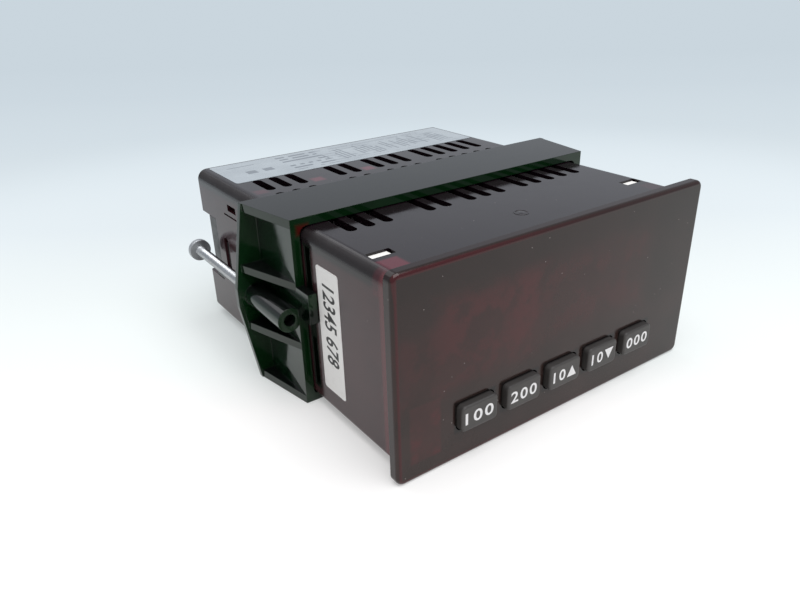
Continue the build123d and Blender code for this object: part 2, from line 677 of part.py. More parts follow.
# rear cover with finger tabs at its sides
pad_y = recess_y + PAD_GAP
hook_y = hook_slot_y + HOOK_SLOT_L - HOOK_L - HOOK_GAP
arm_inside = cavity_side - COVER_GAP - ARM_T
pad_outside = case_side - PAD_SINK
hook_outside = case_side - HOOK_SINK
blank_w = (2 * (cavity_side - BLANK_SIDE_GAP) - (BLANK_COUNT - 1) * BLANK_SPACING) / BLANK_COUNT
blank_xs = [(i - (BLANK_COUNT - 1) / 2) * (blank_w + BLANK_SPACING) for i in range(BLANK_COUNT)]
blank_z = cavity_top - BLANK_TOP_GAP - BLANK_H / 2
with BuildPart() as rear_cover:
    with BuildSketch(facing_back(cover_front)):
        Rectangle(2 * (cavity_side - COVER_GAP), 2 * (cavity_top - COVER_GAP))
        with Locations((input_x, main_board_top + TERMINAL_H / 2)):
            Rectangle(input_w + 2 * COVER_GAP, TERMINAL_H + 2 * COVER_GAP, mode=Mode.SUBTRACT)
        with Locations((power_x, main_board_top + TERMINAL_H / 2)):
            Rectangle(power_w + 2 * COVER_GAP, TERMINAL_H + 2 * COVER_GAP, mode=Mode.SUBTRACT)
    extrude(amount=-COVER_T)
    with BuildSketch(facing_back(cover_back)):
        with Locations(*[(x, blank_z) for x in blank_xs]):
            Rectangle(blank_w, BLANK_H)
    extrude(amount=BLANK_DEPTH, mode=Mode.SUBTRACT)
    with BuildSketch(facing_back(hook_y)):
        for side in (-1, 1):
            with Locations((side * (arm_inside + ARM_T / 2), 0)):
                Rectangle(ARM_T, ARM_H)
    extrude(amount=-(cover_front - hook_y))
    with BuildSketch(facing_back(pad_y)):
        for side in (-1, 1):
            with Locations((side * (arm_inside + pad_outside) / 2, 0)):
                Rectangle(pad_outside - arm_inside, RECESS_H - 2 * PAD_GAP)
    extrude(amount=-PAD_L)
    with BuildSketch(facing_back(hook_y)):
        for side in (-1, 1):
            with Locations((side * (arm_inside + hook_outside) / 2, 0)):
                Rectangle(hook_outside - arm_inside, HOOK_SLOT_H - 2 * HOOK_SIDE_GAP)
    extrude(amount=-HOOK_L)


def terminal_block(x, poles):
    """Plug-on terminal block with a screw hole above each wire entry, both open to the rear."""
    xs = [x + (i - (poles - 1) / 2) * TERMINAL_PITCH for i in range(poles)]
    with BuildPart() as block:
        with BuildSketch(Plane.XY.offset(main_board_top)):
            with Locations((x, terminal_front + TERMINAL_L / 2)):
                Rectangle(poles * TERMINAL_PITCH + 2 * TERMINAL_END, TERMINAL_L)
        extrude(amount=TERMINAL_H)
        with BuildSketch(facing_back(terminal_back)):
            with Locations(*[(px, terminal_screw_z) for px in xs]):
                Circle(TERMINAL_SCREW_D / 2 + TERMINAL_SCREW_GAP)
        extrude(amount=TERMINAL_HOLE_DEPTH, mode=Mode.SUBTRACT)
        with BuildSketch(facing_back(terminal_back)):
            with Locations(*[(px, terminal_entry_z) for px in xs]):
                Rectangle(TERMINAL_ENTRY_W, TERMINAL_ENTRY_H)
        extrude(amount=TERMINAL_ENTRY_DEPTH, mode=Mode.SUBTRACT)
    return block.part


with BuildPart() as terminal_screws:
    with BuildSketch(facing_back(terminal_back - TERMINAL_HOLE_DEPTH)):
        with Locations(*[(x, terminal_screw_z) for x in terminal_xs]):
            Circle(TERMINAL_SCREW_D / 2)
    extrude(amount=-(TERMINAL_HOLE_DEPTH - TERMINAL_SCREW_SINK))
    with BuildSketch(facing_back(terminal_back - TERMINAL_SCREW_SINK)):
        with Locations(*[(x, terminal_screw_z) for x in terminal_xs]):
            Rectangle(TERMINAL_SCREW_D + TERMINAL_SCREW_SLOT_W, TERMINAL_SCREW_SLOT_W)
    extrude(amount=TERMINAL_SCREW_SLOT_DEPTH, mode=Mode.SUBTRACT)

with BuildPart() as terminal_clamps:
    clamp_w = TERMINAL_ENTRY_W - 2 * CLAMP_GAP
    clamp_h = TERMINAL_ENTRY_H - 2 * CLAMP_GAP
    with BuildSketch(facing_back(terminal_back - TERMINAL_ENTRY_DEPTH)):
        with Locations(*[(x, terminal_entry_z) for x in terminal_xs]):
            Rectangle(clamp_w, clamp_h)
            Rectangle(clamp_w - 2 * CLAMP_WALL, clamp_h - 2 * CLAMP_WALL, mode=Mode.SUBTRACT)
    extrude(amount=-CLAMP_L)


def terminal_header(x, poles):
    """Board header that a terminal block plugs on."""
    with BuildPart() as header:
        with BuildSketch(Plane.XY.offset(main_board_top)):
            with Locations((x, terminal_front - HEADER_L / 2)):
                Rectangle(poles * TERMINAL_PITCH, HEADER_L)
        extrude(amount=TERMINAL_H - HEADER_DROP)
    return header.part


# labels
with BuildPart() as rating_label:
    with BuildSketch(Plane.XY.offset(case_top)):
        with Locations((0, top_label_y + TOP_LABEL_L / 2)):
            RectangleRounded(
                2 * (case_side - TOP_LABEL_MARGIN), TOP_LABEL_L, TOP_LABEL_CORNER_R
            )
    extrude(amount=LABEL_T)

with BuildPart() as side_label:
    with BuildSketch(Plane.YZ.offset(-case_side)):
        side_label_h = 2 * case_top - SIDE_LABEL_BOTTOM_MARGIN - SIDE_LABEL_TOP_MARGIN
        label_z = -case_top + SIDE_LABEL_BOTTOM_MARGIN + side_label_h / 2
        with Locations((SIDE_LABEL_Y + SIDE_LABEL_W / 2, label_z)):
            RectangleRounded(SIDE_LABEL_W, side_label_h, SIDE_LABEL_CORNER_R)
    extrude(amount=-LABEL_T)

pieces = {
    "bezel_case": bezel_case.part,
    "panel_latch": panel_latch.part,
    "panel_screw_left": panel_screw(-boss_x),
    "panel_screw_right": panel_screw(boss_x),
    "keypad_mat": keypad_mat.part,
    "display_carrier": display_carrier.part,
    "display_board": display_board.part,
    "side_lamps": lamp_block(-lamp_x),
    "units_backlight": lamp_block(lamp_x),
    "main_board": main_board.part,
    "board_link": board_link.part,
    "transformer_core": transformer_core.part,
    "transformer_winding": transformer_winding.part,
    "supply_capacitor": can_capacitor(SUPPLY_CAP_PLACE, SUPPLY_CAP_D, SUPPLY_CAP_H),
    "filter_capacitor": can_capacitor(FILTER_CAP_PLACE, FILTER_CAP_D, FILTER_CAP_H),
    "film_capacitor": box_on_board(FILM_CAP_PLACE, FILM_CAP_W, FILM_CAP_L, film_cap_h),
    "processor_chip": box_on_board(PROCESSOR_PLACE, PROCESSOR_W, PROCESSOR_W, PROCESSOR_H),
    "converter_chip": box_on_board(CONVERTER_PLACE, CONVERTER_W, CONVERTER_L, CONVERTER_H),
    "range_jumpers": range_jumpers.part,
    "rear_cover": rear_cover.part,
    "input_terminal_block": terminal_block(input_x, INPUT_POLES),
    "power_terminal_block": terminal_block(power_x, POWER_POLES),
    "terminal_screws": terminal_screws.part,
    "terminal_clamps": terminal_clamps.part,
    "input_header": terminal_header(input_x, INPUT_POLES),
    "power_header": terminal_header(power_x, POWER_POLES),
    "rating_label": rating_label.part,
    "side_label": side_label.part,
}
for i in range(KEY_COUNT):
    pieces["key_" + str(i + 1)] = key_top(key_xs[i])
for i in range(len(OPTION_SOCKET_PLACES)):
    pieces["option_connector_" + str(i + 1)] = option_socket(OPTION_SOCKET_PLACES[i])
for i in range(DIGIT_COUNT):
    pieces["digit_" + str(i + 1)] = digit_module(digit_xs[i])

for name, shape in pieces.items():
    shape.label = name
    export_step(shape, "parts/" + name + ".step")
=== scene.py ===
"""Finishes, printed marks and threaded screws of a digital panel meter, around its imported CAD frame."""

import bpy
import numpy as np
from mathutils import Matrix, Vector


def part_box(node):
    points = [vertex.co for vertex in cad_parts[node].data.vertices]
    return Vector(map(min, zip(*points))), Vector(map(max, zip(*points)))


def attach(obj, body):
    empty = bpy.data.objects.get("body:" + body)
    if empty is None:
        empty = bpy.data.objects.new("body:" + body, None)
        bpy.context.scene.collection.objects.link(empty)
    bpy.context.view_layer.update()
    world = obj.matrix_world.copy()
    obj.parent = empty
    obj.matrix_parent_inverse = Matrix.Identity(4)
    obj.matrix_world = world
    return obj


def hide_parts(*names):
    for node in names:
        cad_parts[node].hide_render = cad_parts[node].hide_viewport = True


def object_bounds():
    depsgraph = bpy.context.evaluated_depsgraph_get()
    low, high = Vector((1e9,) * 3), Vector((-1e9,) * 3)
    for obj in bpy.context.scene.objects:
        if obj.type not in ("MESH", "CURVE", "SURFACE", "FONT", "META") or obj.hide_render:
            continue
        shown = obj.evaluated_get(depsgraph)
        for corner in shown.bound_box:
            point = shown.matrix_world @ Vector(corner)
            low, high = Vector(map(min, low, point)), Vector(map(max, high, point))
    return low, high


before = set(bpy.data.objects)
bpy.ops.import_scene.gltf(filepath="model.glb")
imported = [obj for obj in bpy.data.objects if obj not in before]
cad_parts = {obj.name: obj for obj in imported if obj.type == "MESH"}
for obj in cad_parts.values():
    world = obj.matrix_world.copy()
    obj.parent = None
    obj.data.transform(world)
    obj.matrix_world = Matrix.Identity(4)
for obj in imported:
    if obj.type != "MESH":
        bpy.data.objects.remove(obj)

bl_info = {
    "name": "Panel meter finish",
    "version": (1, 0, 0),
    "blender": (4, 5, 0),
    "location": "View3D > Sidebar > Panel meter",
    "description": "Gives a packed panel meter its finishes, printed marks and threaded screws",
    "category": "Object",
}

MM = 0.001
CAD_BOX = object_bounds()
FLOOR_Z = CAD_BOX[0].z
BEZEL_HALF = 1000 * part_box("bezel_case")[1]
KEY_LOW, KEY_HIGH = [1000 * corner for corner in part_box("key_3")]
KEY_MIDDLE = (KEY_LOW + KEY_HIGH) / 2
KEY_SIZE = (KEY_HIGH.x - KEY_LOW.x, KEY_HIGH.z - KEY_LOW.z)
KEY_PITCH = 1000 * (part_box("key_4")[0].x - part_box("key_3")[0].x)
SCREW_HEAD = 2.3
FLOOR_REACH = 4.0
FAR_PAINT = (0.59, 0.67, 0.73)

# zones of the case's colour, for its painted shade and painted glow, in millimetres: low corner, high corner,
# width of the soft edge
SIDE_SLOTS = (-47, 33.6, -19), (47, 36.5, 18.8), 0.25
KEY_HOLES = (-33.3, -3, -17.6), (33.3, 0.1, -9.3), 0.2
NEAR_CORNER = (-42.8, 1.2, 20.2), (-38.9, 9.2, 23.0), 1.1
NEAR_CORNER_SIDE = (-45.9, 1.2, 17.2), (-43.0, 7.0, 23.0), 1.4
LEFT_EDGE = (-46.5, 0.1, -22.5), (-45.2, 4.6, 21.0), 1.6
FAR_CORNER = (39, 1.2, 18.2), (45.9, 9.0, 23.0), 0.8

# warm fields behind the front: a zone with how strong it is
WARM_FIELDS = [((-33, -3.2, -1), (-12, -1.9, 12), 7.0, 0.75), ((-12, -3.2, 1), (24, -1.9, 12), 8.0, 0.45),
               ((-45, -3.2, -4), (-38, -1.9, 8), 5.0, 0.4),
               ((-44.3, -3.2, -19.9), (-37.1, -1.9, -6.6), 0.9, 0.95)]

# painted glow spots by the rear vents: place, how strong, then their half width
VENT_GLOW_SPOTS = [(-40.4, 69.3, 22.2, 0.35), (-22.6, 70.2, 22.2, 0.7), (-5.5, 70.7, 22.2, 0.8)]
SPOT_REACH = 0.9

# zones of the latch frame's colour: a darker tongue, and painted red light at its corner
TONGUE = (-56, 30.5, -9), (-45, 37.2, 4), 0.2
LATCH_CORNER = (-45.9, 36.5, 21.3), (-44.4, 38.2, 22.1), 1.5

# marks on the top label: their zones and spacings
ROW_FIELD = (-22, 82.5, 20), (38, 99.5, 24), 0.2
STROKE_FIELD = (-9, 82, 20), (37, 100, 24), 0.2
LABEL_RULE = (-38.5, 96.6, 20), (-30, 97.0, 24), 0.15
LABEL_SQUARES = [((-35.5, 87.5, 20), (-32.5, 90.5, 24), 0.15), ((-30.2, 87.5, 20), (-27.2, 90.5, 24), 0.15)]
ROW_PITCH = 2.7
CELL_WIDTH = 1.45
STROKE_PITCH = 1.5

# where the screws' finish changes along them, from and to
SOILED_TIP = (44.0, 42.0)
DULL_HEAD = (91.0, 93.5)

# turns of the winding's tape, and the moulding gate's place on the case's top
TAPE_PITCH = 2.4
GATE_PLACE = (0.2, 13.2)

# camera of the reference view: place in metres, then its right, up and backward directions
CAMERA_PLACE = (-0.11257, -0.09847, 0.07576)
CAMERA_RIGHT = (0.81471, -0.57926, -0.02641)
CAMERA_UP = (0.27188, 0.34138, 0.89974)
CAMERA_BACK = (-0.51218, -0.74021, 0.43562)
CAMERA_LENS = 31.2


# node trees


class NodeKit:
    """Short calls that add nodes to one tree and join their sockets."""

    def __init__(self, tree):
        self.tree = tree

    def feed(self, socket, value):
        """Links another socket to this one, or sets its own value."""
        if isinstance(value, bpy.types.NodeSocket):
            self.tree.links.new(value, socket)
        elif value is not None:
            socket.default_value = value

    def add(self, kind, inputs=None, **settings):
        node = self.tree.nodes.new(kind)
        for name, value in settings.items():
            setattr(node, name, value)
        for key, value in (inputs or {}).items():
            self.feed(node.inputs[key], value)
        return node

    def math(self, operation, a, b=None, c=None, clamp=False):
        inputs = {0: a, 1: b, 2: c}
        return self.add("ShaderNodeMath", inputs, operation=operation, use_clamp=clamp).outputs[0]

    def times(self, a, b):
        return self.math("MULTIPLY", a, b)

    def minus(self, a, b):
        return self.math("SUBTRACT", a, b)

    def larger(self, a, b):
        return self.math("MAXIMUM", a, b)

    def vector(self, operation, a, b=None):
        return self.add("ShaderNodeVectorMath", {0: a, 1: b}, operation=operation).outputs[0]

    def scaled(self, a, factor):
        return self.add("ShaderNodeVectorMath", {0: a, "Scale": factor}, operation="SCALE").outputs[0]

    def parts(self, vector):
        return self.add("ShaderNodeSeparateXYZ", {0: vector}).outputs

    def joined(self, x, y, z):
        return self.add("ShaderNodeCombineXYZ", {0: x, 1: y, 2: z}).outputs[0]

    def ramp(self, value, low, high, to_low=0.0, to_high=1.0):
        """Smooth step of value from low to high."""
        inputs = {0: value, 1: low, 2: high, 3: to_low, 4: to_high}
        node = self.add("ShaderNodeMapRange", inputs, interpolation_type="SMOOTHSTEP")
        return node.outputs[0]

    def mix(self, share, a, b):
        """Colour that goes from a to b with share."""
        return self.add("ShaderNodeMix", {0: share, 6: a, 7: b}, data_type="RGBA").outputs[2]

    def noise(self, vector, scale, detail=2.0, roughness=0.5):
        inputs = {"Vector": vector, "Scale": scale, "Detail": detail, "Roughness": roughness}
        return self.add("ShaderNodeTexNoise", inputs).outputs[0]

    def effect(self, group, **inputs):
        """Places a shared effect; returns its outputs."""
        node = self.add("ShaderNodeGroup", node_tree=group)
        for name, value in inputs.items():
            self.feed(node.inputs[name.replace("_", " ")], value)
        return node.outputs


def shared_effect(name, inputs, outputs, make):
    """Node group with named sockets, built once; make fills it and returns what its outputs show."""
    group = bpy.data.node_groups.get(name)
    if group is not None:
        return group
    group = bpy.data.node_groups.new(name, "ShaderNodeTree")
    for label, kind, default in inputs:
        socket = group.interface.new_socket(name=label, in_out="INPUT", socket_type=kind)
        socket.default_value = default
    for label, kind in outputs:
        group.interface.new_socket(name=label, in_out="OUTPUT", socket_type=kind)
    kit = NodeKit(group)
    entry = kit.add("NodeGroupInput").outputs
    made = make(kit, entry)
    sink = kit.add("NodeGroupOutput")
    for i, socket in enumerate(made):
        kit.feed(sink.inputs[i], socket)
    return group


FLOAT = "NodeSocketFloat"
VECTOR = "NodeSocketVector"


def box_zone():
    """Mask that is 1 inside a box of the given corners and falls to 0 over Soft outside it."""

    def make(kit, entry):
        place, low, high, soft = entry[0], entry[1], entry[2], entry[3]
        under = kit.parts(kit.vector("SUBTRACT", low, place))
        over = kit.parts(kit.vector("SUBTRACT", place, high))
        out = [kit.larger(under[i], over[i]) for i in range(3)]
        far = kit.larger(kit.larger(out[0], out[1]), out[2])
        share = kit.math("DIVIDE", far, soft)
        return [kit.ramp(share, 1.0, 0.0)]

    sockets = [("Place", VECTOR, (0, 0, 0)), ("Low", VECTOR, (0, 0, 0)), ("High", VECTOR, (1, 1, 1)),
               ("Soft", FLOAT, 1.0)]
    return shared_effect("Box zone", sockets, [("Mask", FLOAT)], make)


def moulded_grain():
    """Fine orange-peel of a moulded surface and the slow unevenness of its tone."""

    def make(kit, entry):
        place, size = entry[0], entry[1]
        fine = kit.math("DIVIDE", 1.0, size)
        grain = kit.noise(place, fine, 3.0, 0.6)
        slow = kit.noise(place, 0.09, 3.0, 0.55)
        smudge = kit.noise(kit.vector("MULTIPLY", place, (0.5, 0.5, 0.9)), 0.35, 4.0, 0.65)
        return [grain, slow, smudge]

    sockets = [("Place", VECTOR, (0, 0, 0)), ("Size", FLOAT, 0.3)]
    masks = [("Height", FLOAT), ("Tone", FLOAT), ("Smudge", FLOAT)]
    return shared_effect("Moulded grain", sockets, masks, make)


def dust_specks():
    """Few pale specks: cells of a Voronoi pattern, a random share of which has a dot at its centre."""

    def make(kit, entry):
        place, cell, radius, share = entry[0], entry[1], entry[2], entry[3]
        scale = kit.math("DIVIDE", 1.0, cell)
        spots = kit.add("ShaderNodeTexVoronoi", {"Vector": place, "Scale": scale})
        reach = kit.times(spots.outputs[0], cell)
        picks = kit.add("ShaderNodeSeparateColor", {0: spots.outputs[1]}).outputs
        size = kit.times(radius, kit.math("ADD", 0.4, picks[1]))
        dot = kit.ramp(kit.math("DIVIDE", reach, size), 1.0, 0.5)
        chosen = kit.math("LESS_THAN", picks[0], share)
        return [kit.times(dot, chosen)]

    sockets = [("Place", VECTOR, (0, 0, 0)), ("Cell", FLOAT, 3.0), ("Radius", FLOAT, 0.1),
               ("Share", FLOAT, 0.2)]
    return shared_effect("Dust specks", sockets, [("Mask", FLOAT)], make)


def fine_scratches():
    """Thin hairlines: narrow bands of a stretched noise, broken up by a second noise."""

    def make(kit, entry):
        place, stretch = entry[0], entry[1]
        streak = kit.noise(kit.vector("MULTIPLY", place, stretch), 1.0, 2.0, 0.4)
        line = kit.ramp(kit.math("ABSOLUTE", kit.minus(streak, 0.5)), 0.008, 0.0)
        patch = kit.ramp(kit.noise(place, 0.12, 2.0, 0.5), 0.52, 0.66)
        return [kit.times(line, patch)]

    sockets = [("Place", VECTOR, (0, 0, 0)), ("Stretch", VECTOR, (1, 1, 1))]
    return shared_effect("Fine scratches", sockets, [("Mask", FLOAT)], make)


class Finish:
    """One material in the making: its node kit, its place in millimetres and its shader."""

    def __init__(self, name, roughness=0.4, metallic=0.0, ior=1.5, coat_roughness=0.05, edge=0.15):
        self.material = bpy.data.materials.new(name)
        self.material.use_nodes = True
        tree = self.material.node_tree
        tree.nodes.clear()
        self.kit = NodeKit(tree)
        self.shader = self.kit.add("ShaderNodeBsdfPrincipled")
        output = self.kit.add("ShaderNodeOutputMaterial")
        tree.links.new(self.shader.outputs[0], output.inputs[0])
        self.shader.inputs["Roughness"].default_value = roughness
        self.shader.inputs["Metallic"].default_value = metallic
        self.shader.inputs["IOR"].default_value = ior
        self.shader.inputs["Coat Roughness"].default_value = coat_roughness
        where = self.kit.add("ShaderNodeTexCoord").outputs["Object"]
        self.mm = self.kit.scaled(where, 1000.0)
        self.edge = edge

    def zone(self, low, high, soft=0.3):
        return self.kit.effect(box_zone(), Place=self.mm, Low=low, High=high, Soft=soft)[0]

    def grain(self, size=0.3):
        return self.kit.effect(moulded_grain(), Place=self.mm, Size=size)

    def dust(self, cell=3.0, radius=0.1, share=0.2):
        return self.kit.effect(dust_specks(), Place=self.mm, Cell=cell, Radius=radius, Share=share)[0]

    def scratches(self, stretch):
        return self.kit.effect(fine_scratches(), Place=self.mm, Stretch=stretch)[0]

    def facing(self):
        """Parts of the direction that the surface faces."""
        return self.kit.parts(self.kit.add("ShaderNodeNewGeometry").outputs["True Normal"])

    def colour(self, socket):
        self.kit.feed(self.shader.inputs["Base Color"], socket)

    def rough(self, socket):
        self.kit.feed(self.shader.inputs["Roughness"], socket)

    def bump(self, height, strength, distance):
        """Bump of the height field over edges rounded by the finish's own edge radius."""
        inputs = {"Strength": strength, "Distance": distance * MM, "Height": height}
        node = self.kit.add("ShaderNodeBump", inputs)
        if self.edge:
            soft = self.kit.add("ShaderNodeBevel", {"Radius": self.edge * MM}, samples=4)
            self.kit.feed(node.inputs["Normal"], soft.outputs[0])
        self.kit.feed(self.shader.inputs["Normal"], node.outputs[0])


def rgba(colour):
    return (colour[0], colour[1], colour[2], 1.0)


# finishes


def case_walls(made, look, tone, slope, hole):
    """Colour of the case's walls: its own tint on the top, with painted shade in the side slits, over the
    rounded edges and in the key holes."""
    kit = made.kit
    x, y, z = kit.parts(made.mm)
    body = kit.mix(kit.ramp(tone, 0.35, 0.65), rgba(look.case_tint), (0.030, 0.010, 0.013, 1))
    body = kit.mix(kit.ramp(z, 17.2, 18.8), body, rgba(look.top_tint))
    body = kit.mix(kit.ramp(y, 0.1, -0.1), body, (0.012, 0.005, 0.005, 1))
    # painted shade and painted reflection of the latch: the side slits are near black and greenish
    slots = kit.times(made.zone(*SIDE_SLOTS), kit.ramp(kit.math("ABSOLUTE", x), 42.5, 43.0))
    body = kit.mix(slots, body, (0.0015, 0.004, 0.002, 1))
    # painted shade: the rounded edges are darker
    body = kit.mix(kit.times(slope, 0.6), body, (0.009, 0.007, 0.007, 1))
    # painted shade: the walls of the key holes are near black
    return kit.mix(hole, body, (0.002, 0.002, 0.002, 1))


def front_window(made, look, tone, front, colour):
    """Colour with the window laid over it, darker towards the top, with faint warm fields behind it."""
    kit = made.kit
    z = kit.parts(made.mm)[2]
    face = kit.mix(kit.ramp(tone, 0.3, 0.7), rgba(look.front_tint), (0.020, 0.011, 0.009, 1))
    colour = kit.mix(front, colour, face)
    shade = kit.times(front, kit.ramp(z, -4, 22, 0.0, 0.6))
    colour = kit.mix(shade, colour, (0.012, 0.007, 0.006, 1))
    patchy = kit.noise(made.mm, 0.16, 2.0, 0.5)
    fine = kit.noise(made.mm, 0.9, 3.0, 0.6)
    blotch = kit.ramp(kit.math("MULTIPLY_ADD", fine, 0.3, patchy), 0.5, 0.85)
    for low, high, soft, weight in WARM_FIELDS:
        uneven = kit.ramp(blotch, 0.0, 1.0, 0.35 * weight, weight)
        colour = kit.mix(kit.times(made.zone(low, high, soft), uneven), colour, (0.062, 0.012, 0.013, 1))
    return colour


def key_shadows(made, colour):
    """Colour with a soft dark ring round each key of the row."""
    kit = made.kit
    x, _, z = kit.parts(made.mm)
    beside = kit.minus(kit.math("ABSOLUTE", kit.math("PINGPONG", x, 0.5 * KEY_PITCH)), 0.5 * KEY_SIZE[0])
    above = kit.minus(kit.math("ABSOLUTE", kit.minus(z, KEY_MIDDLE[2])), 0.5 * KEY_SIZE[1])
    ring = kit.ramp(kit.larger(beside, above), 1.15, 0.45)
    ring = kit.times(ring, kit.ramp(kit.math("ABSOLUTE", x), 33.6, 33.2))
    return kit.mix(kit.times(ring, 0.85), colour, (0.004, 0.0035, 0.0035, 1))


def rim_glow_line(made, colour):
    """Colour with a painted red glow line inside the bezel's rim, wider at the top and fainter to the right.
    """
    kit = made.kit
    x, y, z = kit.parts(made.mm)
    across = kit.minus(kit.math("ABSOLUTE", x), BEZEL_HALF.x)
    upward = kit.minus(kit.math("ABSOLUTE", z), BEZEL_HALF.z)
    outer = kit.larger(across, upward)
    shifted = kit.minus(outer, kit.ramp(z, 18.0, 23.0, 0.0, 0.35))
    # painted glow: a dark red line where light gets into the rim's edge
    rim = kit.times(kit.ramp(outer, -1.35, -1.0), kit.ramp(shifted, -0.4, -0.75))
    rim = kit.times(rim, kit.ramp(y, -1.7, -2.2))
    rim = kit.times(rim, kit.ramp(kit.math("ADD", x, kit.times(z, 0.5)), 30, -30, 0.2, 1))
    return kit.mix(kit.times(rim, 0.9), colour, (0.05, 0.007, 0.009, 1))


def painted_glows(made, colour):
    """Colour with painted glow where light gets through the wall: front corners, left edge, rear vents."""
    kit = made.kit
    near = kit.larger(made.zone(*NEAR_CORNER), kit.times(made.zone(*NEAR_CORNER_SIDE), 0.35))
    glows = [(near, 0.85, (0.10, 0.010, 0.022, 1)), (made.zone(*LEFT_EDGE), 0.8, (0.11, 0.026, 0.032, 1)),
             (made.zone(*FAR_CORNER), 0.15, (0.10, 0.014, 0.026, 1))]
    for zone, strength, tint in glows:
        colour = kit.mix(kit.times(zone, strength), colour, tint)
    for *place, strength in VENT_GLOW_SPOTS:
        low, high = tuple(c - SPOT_REACH for c in place), tuple(c + SPOT_REACH for c in place)
        colour = kit.mix(kit.times(made.zone(low, high, 1.6), strength), colour, (0.13, 0.025, 0.042, 1))
    return colour


def smoked_case_finish(look):
    """Dark smoked moulding: neutral over the case, with painted red glow where light gets into its edges,
    painted glow near the front corners where the white carrier shows through it, and faint warm fields behind
    the front."""
    made = Finish("smoked_case", roughness=0.2, ior=1.4, coat_roughness=0.12, edge=0.12)
    kit = made.kit
    y = kit.parts(made.mm)[1]
    height, tone, smudge = made.grain(0.25)
    turned = made.facing()
    slope = kit.times(kit.ramp(turned[2], 0.12, 0.35), kit.ramp(turned[2], 0.97, 0.8))
    slope = kit.times(slope, kit.ramp(y, 0.0, 0.5))
    hole = kit.times(made.zone(*KEY_HOLES), kit.ramp(turned[1], -0.9, -0.7))
    front = kit.times(kit.ramp(y, -1.4, -2.3), kit.minus(1.0, hole))
    colour = front_window(made, look, tone, front, case_walls(made, look, tone, slope, hole))
    for layer in (key_shadows, rim_glow_line, painted_glows):
        colour = layer(made, colour)
    dust = kit.larger(made.dust(2.6, 0.12, 0.4), made.dust(6.1, 0.2, 0.2))
    made.colour(kit.mix(kit.times(dust, 0.5), colour, (0.42, 0.38, 0.37, 1)))
    rough = kit.ramp(smudge, 0.3, 0.75, 0.10, 0.2)
    rough = kit.math("MULTIPLY_ADD", made.scratches((0.3, 0.3, 5.0)), 0.12, rough)
    rough = kit.math("MULTIPLY_ADD", slope, 0.4, rough)
    made.rough(kit.math("MULTIPLY_ADD", dust, 0.3, rough))
    lid = kit.times(kit.ramp(turned[2], 0.9, 0.98), kit.ramp(y, 0.1, 0.3))
    kit.feed(made.shader.inputs["Coat Weight"], kit.times(lid, 0.27))
    made.bump(kit.math("MULTIPLY_ADD", smudge, 0.6, height), 0.10, 0.02)
    return made.material


def latch_finish(look):
    """Polished black moulding with painted green shade, greenest on the faces that look forward and neutral
    on those that look up, with a little dust on it.
    """
    made = Finish("latch_black", roughness=0.12, ior=1.44, edge=0.22)
    kit = made.kit
    height, tone, smudge = made.grain(0.5)
    facing = made.facing()
    # painted shade: faces that look forward or to the sides take a green tint, faces that look up stay
    # neutral black
    forward_shade = kit.mix(kit.ramp(tone, 0.3, 0.7), rgba(look.latch_shade_tint), (0.003, 0.018, 0.005, 1))
    side_shade = kit.mix(kit.ramp(facing[2], 0.3, 0.8), (0.0022, 0.012, 0.0045, 1), (0.004, 0.005, 0.0047, 1))
    colour = kit.mix(kit.ramp(kit.times(facing[1], -1.0), 0.4, 0.8), side_shade, forward_shade)
    colour = kit.mix(kit.times(made.zone(*TONGUE), 0.85), colour, (0.001, 0.0022, 0.0013, 1))
    # painted red light at the latch's corner beside the case's corner
    colour = kit.mix(made.zone(*LATCH_CORNER), colour, (0.06, 0.004, 0.003, 1))
    dust = made.dust(2.6, 0.1, 0.22)
    made.colour(kit.mix(kit.times(dust, 0.35), colour, (0.2, 0.2, 0.19, 1)))
    rough = kit.ramp(smudge, 0.3, 0.75, 0.07, 0.16)
    made.rough(kit.math("MULTIPLY_ADD", made.scratches((0.25, 4.0, 0.4)), 0.1, rough))
    made.bump(kit.math("MULTIPLY_ADD", smudge, 0.8, height), 0.08, 0.03)
    return made.material


def key_finish(look):
    """Silicone rubber: soft sheen, fine grain, paler where fingers polished the edges, with painted shade on
    the faces that look up.
    """
    made = Finish("key_rubber", roughness=0.55, edge=0.2)
    kit = made.kit
    height, tone, smudge = made.grain(0.12)
    y = kit.parts(made.mm)[1]
    worn = kit.ramp(kit.math("MULTIPLY_ADD", smudge, 1.2, kit.times(y, -1.0)), 4.6, 5.3)
    colour = kit.mix(kit.ramp(tone, 0.3, 0.7), rgba(look.key_tint), (0.040, 0.037, 0.035, 1))
    colour = kit.mix(kit.times(worn, 0.3), colour, (0.07, 0.066, 0.064, 1))
    # painted shade: faces that look up are darker
    colour = kit.mix(kit.ramp(made.facing()[2], 0.25, 0.8), colour, (0.036, 0.033, 0.032, 1))
    dust = made.dust(1.7, 0.07, 0.25)
    made.colour(kit.mix(kit.times(dust, 0.4), colour, (0.3, 0.29, 0.28, 1)))
    made.rough(kit.ramp(smudge, 0.3, 0.75, 0.46, 0.62))
    made.bump(height, 0.25, 0.03)
    return made.material


def print_finish(name, colour, worn):
    """Screen-printed ink: fine grain, its tone a little uneven, thin in spots."""
    made = Finish(name, roughness=0.5, edge=0.0)
    kit = made.kit
    height, tone, smudge = made.grain(0.1)
    thin = kit.ramp(kit.noise(made.mm, 6.0, 3.0, 0.7), 0.62, 0.8)
    shade = kit.mix(kit.times(thin, worn), rgba(colour), rgba([0.35 * c for c in colour]))
    made.colour(kit.mix(kit.ramp(tone, 0.3, 0.7, 0.0, 0.25), shade, rgba([0.86 * c for c in colour])))
    made.rough(kit.ramp(smudge, 0.3, 0.75, 0.42, 0.6))
    made.bump(height, 0.12, 0.01)
    return made.material


